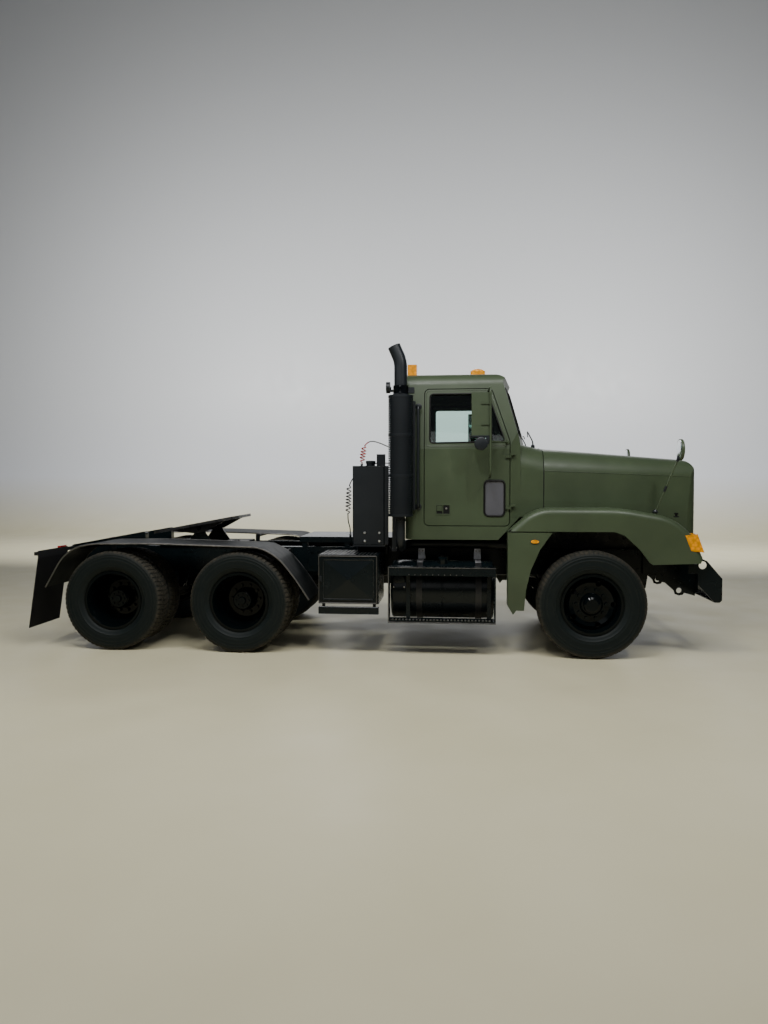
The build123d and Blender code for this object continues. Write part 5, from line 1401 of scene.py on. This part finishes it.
@dataclass
class TankFittings:
    """The steps' teeth, flanges and worn edges, and the fuel tanks' caps, seams, gauges and strap bolts."""

    low_x: float = 0.262
    high_x: float = 1.290

    def teeth(self, z: float) -> Surface:
        """Two rows of raised studs along a step."""
        x = np.arange(self.low_x + 0.03, self.high_x - 0.02, 0.034)
        spots = [(float(a), y, z) for a in x for y in (-1.195, -1.160)]
        return heads(spots, (0, 0, 1), 0.010, 0.004, 8)

    def build(self) -> None:
        """Makes the tank fittings on the chassis."""
        put("step_teeth", both(together([self.teeth(0.8625), self.teeth(0.3625)])), STEEL, "chassis")
        profile = [(0, 0.042), (0.012, 0.042), (0.014, 0.050), (0.040, 0.050), (0.046, 0.040), (0.048, 0.012)]
        cap = lathe(profile, (0.783, -0.800, 0.914), Axis.Z, 24)
        put("filler_caps", both(cap), STEEL, "chassis")
        seams = [lathe([(-0.006, 0.2945), (0.0, 0.2975), (0.006, 0.2945)], (x, -0.800, 0.622), Axis.X, 64)
                 for x in (0.285, 0.776, 1.267)]
        put("tank_seams", both(together(seams)), CHASSIS, "chassis")
        start, end, face = self.low_x - 0.014, self.high_x + 0.010, -1.2125
        flange = bar((start, face, 0.800), (end, -1.2095, 0.884), 0.001)
        put("step_flanges", both(flange), CHASSIS, "chassis")
        dots = [(float(x), -1.2122, 0.812) for x in np.arange(0.455, 1.0, 0.058)]
        put("step_flange_bolts", both(heads(dots, (0, -1, 0), 0.0055, 0.004, 12)), DARK_STEEL, "chassis")
        low_z, top_z = 0.338, 0.884
        worn = [
            bar((start, face - 0.003, top_z - 0.007), (end, face, top_z), 0.001),
            bar((start, face - 0.002, low_z), (self.low_x - 0.006, face + 0.002, top_z), 0.001),
            bar((self.low_x - 0.010, face - 0.003, low_z - 0.002), (end, face + 0.002, low_z + 0.005), 0.001),
        ]
        put("step_worn_edges", both(together(worn)), DARK_STEEL, "chassis")
        gauge = lathe([(0.0, 0.060), (-0.010, 0.062), (-0.016, 0.058), (-0.018, 0.030), (-0.020, 0.010)],
                      (0.345, -1.062, 0.735), Axis.Y, 32)
        studs = heads([(0.292, -1.078, 0.672), (0.400, -1.078, 0.672)], (0, -1, 0), 0.010, 0.012, 16)
        bolts = [(x + dx, -0.66, 1.0) for x in (0.548, 1.137) for dx in (-0.018, 0.018)]
        put("tank_gauges", both(gauge), CHASSIS, "chassis")
        put("tank_gauge_studs", both(studs), STEEL, "chassis")
        put("strap_bolts", both(heads(bolts, (0, -1, 0), 0.011, 0.010)), STEEL, "chassis")


@dataclass
class ToolboxTrim:
    """The tread plate and step strips of both boxes, and the toolbox door's panel, edge lines and latch."""

    pitch: float = 0.038
    lozenge_half: Point = (0.013, 0.004, 0.0016)

    def lozenges(self, x_range: Pair, y_range: Pair, z: float) -> Surface:
        """Raised lozenges of a tread plate, every second one turned by a right angle."""
        i, j = np.meshgrid(np.arange(*x_range, self.pitch), np.arange(*y_range, self.pitch))
        centres = np.stack([i.ravel(), j.ravel(), np.full(i.size, z)], 1)
        flip = (np.add(*np.indices(i.shape)) % 2).ravel()
        long, wide, high = self.lozenge_half
        one = np.array([(-long, 0, 0), (0, -wide, 0), (long, 0, 0), (0, wide, 0), (0, 0, high)])
        angle = np.where(flip == 0, math.pi / 4, -math.pi / 4)
        cos, sin = np.cos(angle), np.sin(angle)
        turn = np.stack([np.stack([cos, -sin], 1), np.stack([sin, cos], 1)], 1)
        flat = np.einsum("nij,kj->nki", turn, one[:, :2])
        rise = np.broadcast_to(one[:, 2], flat.shape[:2])[..., None]
        points = np.concatenate([flat, rise], -1) + centres[:, None]
        caps = [[5 * n + a, 5 * n + (a + 1) % 4, 5 * n + 4] for n in range(len(centres)) for a in range(4)]
        return Surface(points.reshape(-1, 3), caps=caps)

    def panel(self) -> Surface:
        """The door's pressed panel: a frame bead round a low four-sided pyramid."""
        bead = rim(rounded(rectangle((-0.405, 0.555), (0.112, 0.958)), 0.02, 5), -1.2135, 0.008)
        x0, x1, z0, z1 = -0.395, 0.102, 0.565, 0.948
        foot = [(x, -1.2125, z) for x, z in rectangle((x0, z0), (x1, z1))]
        apex = ((x0 + x1) / 2, -1.240, (z0 + z1) / 2)
        pyramid = Surface(np.array([*foot, apex]), caps=[[a, (a + 1) % 4, 4] for a in range(4)])
        return together([bead, pyramid])

    def build(self) -> None:
        """Makes the tread and strips on both boxes, and the panel, lines and latch on the door."""
        tread = self.lozenges((-0.425, 0.14), (-1.175, -0.65), 1.0005)
        put("box_tread", both(tread), STEEL, "chassis")
        put("toolbox_panel", self.panel(), CHASSIS, "toolbox_door", sharp=3)
        lines = [
            rim(rounded(rectangle(low, high), 0.012, 4), -1.2095, 0.0045)
            for low, high in (((-0.441, 0.523), (0.136, 0.989)), ((-0.399, 0.561), (0.106, 0.952)))
        ]
        put("toolbox_edge_lines", together(lines), DARK_STEEL, "toolbox_door")
        outline = rounded(rectangle((-0.436, 0.742), (-0.410, 0.788)), 0.008, 4)
        pin = heads([(-0.423, -1.226, 0.765)], (0, -1, 0), 0.007, 0.004, 16)
        latch = together([plate(outline, Axis.Y, (-1.228, -1.218), 0.002), pin])
        put("toolbox_latch", latch, SATIN, "toolbox_door")
        strip = bar((-0.440, -1.197, 0.474), (0.146, -1.191, 0.482), 0.001)
        put("box_step_strips", both(strip), STRAP, "chassis")


@dataclass
class HydraulicFittings:
    """Bolts, cap, seam and side flange of the hydraulic tank behind the cab."""

    def build(self) -> None:
        """Makes the fittings on the chassis."""
        spots = [(x, -0.9552, z) for x in (-0.013, 0.137) for z in (1.120, 1.204)]
        put("tank_bolts", heads(spots, (0, -1, 0), 0.013, 0.009), STRAP, "chassis")
        profile = [(0, 0.046), (0.028, 0.046), (0.030, 0.052), (0.052, 0.052), (0.058, 0.044), (0.060, 0.01)]
        cap = lathe(profile, (0.020, -0.700, 1.883), Axis.Z, 24)
        put("hydraulic_cap", cap, SATIN, "chassis")
        seam = rim(rounded(rectangle((-0.132, 1.086), (0.184, 1.877)), 0.012, 5), -0.9555, 0.003)
        put("hydraulic_seam", seam, CHASSIS, "chassis")
        flange = bar((0.190, -0.953, 1.083), (0.228, -0.938, 1.883), 0.002)
        put("hydraulic_flange", flange, SATIN, "chassis")


@dataclass
class StackFittings:
    """The clamp, ribbed collar, arm and lugs on the stack, and the grab tube ahead of its guard."""

    grab_x: float = 0.535
    grab_low: float = 1.47
    grab_high: float = 2.47

    def build(self) -> None:
        """Makes the clamps and the tube on the chassis."""
        clamp = lathe([(-0.014, 0.047), (-0.012, 0.050), (0.012, 0.050), (0.014, 0.047)],
                      (STACK_X, STACK_Y, 1.345), Axis.Z, 36)
        folds = np.linspace(0.0, 1.0, 19)
        collar = lathe([(-0.040 + 0.090 * f, 0.073 + 0.005 * math.cos(f * 9 * 2 * math.pi)) for f in folds],
                       (STACK_X, STACK_Y, 2.615), Axis.Z, 48)
        arm = bar((0.425, -1.128, 2.590), (0.500, -1.096, 2.650), 0.004)
        spots = [(STACK_X, -1.196, 2.59), (STACK_X, -1.196, 2.65), (STACK_X, -1.170, 1.345)]
        lugs = heads(spots, (0, -1, 0), 0.011, 0.02)
        put("stack_clamps", together([clamp, collar, arm, lugs]), SATIN, "chassis")
        x, low, high = self.grab_x, self.grab_low, self.grab_high
        grab = bent([(x, -0.99, high), (x, -1.075, high), (x, -1.075, low), (x, -0.99, low)], 0.05)
        feet = heads([(x, -0.992, high), (x, -0.999, low)], (0, -1, 0), 0.034, 0.008, 20)
        put("grab_tube", both(together([tube(grab, 0.016, 12, (1, 0, 0)), feet])), SATIN, "chassis")


@dataclass
class FenderEdges:
    """Rolled edges of the tandem fenders, and the bolts of the mud flaps."""

    sides: Pair = (-1.216, -0.624)
    line: tuple[Pair, ...] = (
        (-3.285, 0.640), (-3.110, 0.940), (-2.965, 1.052), (-2.780, 1.090), (-2.160, 1.098),
        (-1.030, 1.068), (-0.850, 0.968), (-0.690, 0.775), (-0.540, 0.549),
    )

    def build(self) -> None:
        """Makes the edges and bolts on the chassis."""
        paths = [bent([(x, y, z) for x, z in self.line], 0.12, 7) for y in self.sides]
        edges = [tube(path, 0.009, 8, (0, 1, 0)) for path in paths]
        put("fender_edges", both(together(edges)), DARK_STEEL, "chassis")
        spots = [(-3.418, y, 0.985) for y in np.linspace(-1.17, -0.67, 5)]
        put("flap_bolts", both(heads(spots, (-1, 0, 0), 0.012, 0.008)), STRAP, "chassis")


@dataclass
class FrameBolts:
    """Bolt heads on the frame rails where crossmembers and brackets meet them."""

    places: tuple[float, ...] = (
        -3.25, -2.58, -2.05, -1.60, -1.26, -0.62, -0.18, 0.42, 1.05, 1.62, 2.25, 2.85,
    )

    def build(self) -> None:
        """Makes four bolts at each place on the rails' outer faces."""
        spots = [(x + dx, -0.4325, z) for x in self.places for dx in (-0.035, 0.035) for z in (0.80, 0.955)]
        put("frame_bolts", both(heads(spots, (0, -1, 0), 0.014, 0.011)), CHASSIS, "chassis")


@dataclass
class Studio:
    """The pale floor, the soft lights and the camera at the photograph's angle."""

    camera_at: Point = (0.926, -8.714, 1.733)
    pitch: float = 2.33
    yaw: float = 5.46
    lens: float = 27.04
    lamps: tuple[tuple[str, Point, Point, Pair, float], ...] = (
        ("lamp_overhead", (0.2, -5.0, 8.0), (0.0, -0.8, 0.8), (7.5, 1.6), 520.0),
        ("lamp_front", (3.9, -4.4, 5.2), (2.0, -1.0, 1.2), (0.45, 0.45), 85.0),
        ("lamp_middle", (0.4, -4.6, 5.4), (0.6, -0.8, 1.0), (0.45, 0.45), 65.0),
        ("lamp_rear", (-4.0, -4.0, 5.2), (-1.8, -0.6, 0.6), (0.45, 0.45), 75.0),
        ("lamp_behind", (0.6, 5.2, 5.2), (0.4, 0.0, 1.2), (5.0, 1.6), 90.0),
        ("lamp_fill", (-1.5, -11.0, 4.4), (0.4, 0.0, 1.0), (7.0, 3.0), 45.0),
        ("lamp_wall_left", (-7.0, 7.0, 6.5), (-6.0, 17.0, 4.5), (7.0, 4.0), 1300.0),
        ("lamp_wall_right", (7.0, 7.0, 6.5), (6.0, 17.0, 4.5), (7.0, 4.0), 1300.0),
    )

    def floor(self) -> None:
        """A wide plain floor that curves up far behind, the profile carried along X."""
        far, sweep, near, top, half = 14.0, 5.0, -30.0, 26.0, 45.0
        turns = np.linspace(0, math.pi / 2, 9)[1:]
        profile = [(near, 0.0), (far, 0.0)]
        profile += [(far + sweep * math.sin(a), sweep - sweep * math.cos(a)) for a in turns]
        profile.append((far + sweep, top))
        rows = np.array([[(x, y, z) for y, z in profile] for x in (-half, half)])
        surface = grid(rows)
        mesh = bpy.data.meshes.new("floor")
        mesh.from_pydata((surface.points - (0, 0, 0.0005)).tolist(), [], surface.quads.tolist())
        mesh.shade_smooth()
        bench = Bench("studio_floor")
        ground = bench.blend(bench.noise(0.9, 4), (0.56, 0.515, 0.33, 1), (0.64, 0.595, 0.41, 1))
        tone = bench.blend(bench.beyond(Axis.Z, 1.0, 0.9), ground, (0.72, 0.74, 0.77, 1))
        bench.set(Base_Color=tone, Roughness=bench.span(bench.noise(2.0), 0.3, 0.7, 0.35, 0.5))
        mesh.materials.append(bench.material)
        floor = bpy.data.objects.new("floor", mesh)
        bpy.context.scene.collection.objects.link(floor)

    def light(self, name: str, at: Point, aim: Point, size: Pair, power: float) -> None:
        """One soft rectangular lamp aimed at a point."""
        lamp = bpy.data.lights.new(name, "AREA")
        lamp.shape = "RECTANGLE"
        lamp.size, lamp.size_y = size
        lamp.energy = power
        holder = bpy.data.objects.new(name, lamp)
        holder.location = at
        gaze = np.asarray(aim, float) - at
        holder.rotation_mode = "QUATERNION"
        holder.rotation_quaternion = Vector(gaze.tolist()).to_track_quat("-Z", "Y")
        bpy.context.scene.collection.objects.link(holder)

    def build(self) -> None:
        """Sets the floor, the world, the lamps and the camera."""
        self.floor()
        world = bpy.data.worlds.new("studio")
        world.use_nodes = True
        background = world.node_tree.nodes["Background"]
        background.inputs[0].default_value = (0.86, 0.9, 1.0, 1)
        background.inputs[1].default_value = 0.08
        bpy.context.scene.world = world
        for name, at, aim, size, power in self.lamps:
            self.light(name, at, aim, size, power)
        eye = bpy.data.cameras.new("camera")
        eye.sensor_fit = "AUTO"
        eye.sensor_width = 36.0
        eye.lens = self.lens
        eye.clip_end = 200.0
        holder = bpy.data.objects.new("camera", eye)
        holder.location = self.camera_at
        holder.rotation_euler = (math.radians(90 - self.pitch), 0.0, math.radians(self.yaw))
        bpy.context.scene.collection.objects.link(holder)
        bpy.context.scene.camera = holder


def dress_nodes(nodes: dict[str, bpy.types.Object]) -> None:
    """Gives each CAD node its finish.

    Args:
        nodes: The nodes of the frame by name.
    """
    for finish, names in NODE_FINISHES.items():
        for name in names:
            if name in nodes:
                nodes[name].data.materials.clear()
                nodes[name].data.materials.append(finish.material())
                log.info("%s dressed in %s", name, finish.name)


def main() -> None:
    """Builds the finishes, the pieces and the studio."""
    logging.basicConfig(level=logging.INFO, format="%(message)s")
    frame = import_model()
    dress_nodes(frame["nodes"])
    for sub_assembly in (
        Studio(), RED_LINE, BLACK_LINE, Seats(), RoadWheels(), StackGuard(),
        DoorTrim(Side.RIGHT), DoorTrim(Side.LEFT), Windscreen(), HoodTrim(), RoofLamps(),
        QuarterSeals(), EarGussets(), TankFittings(), ToolboxTrim(), HydraulicFittings(),
        StackFittings(), FenderEdges(), FrameBolts(),
    ):
        sub_assembly.build()


if __name__ == "__main__":
    main()
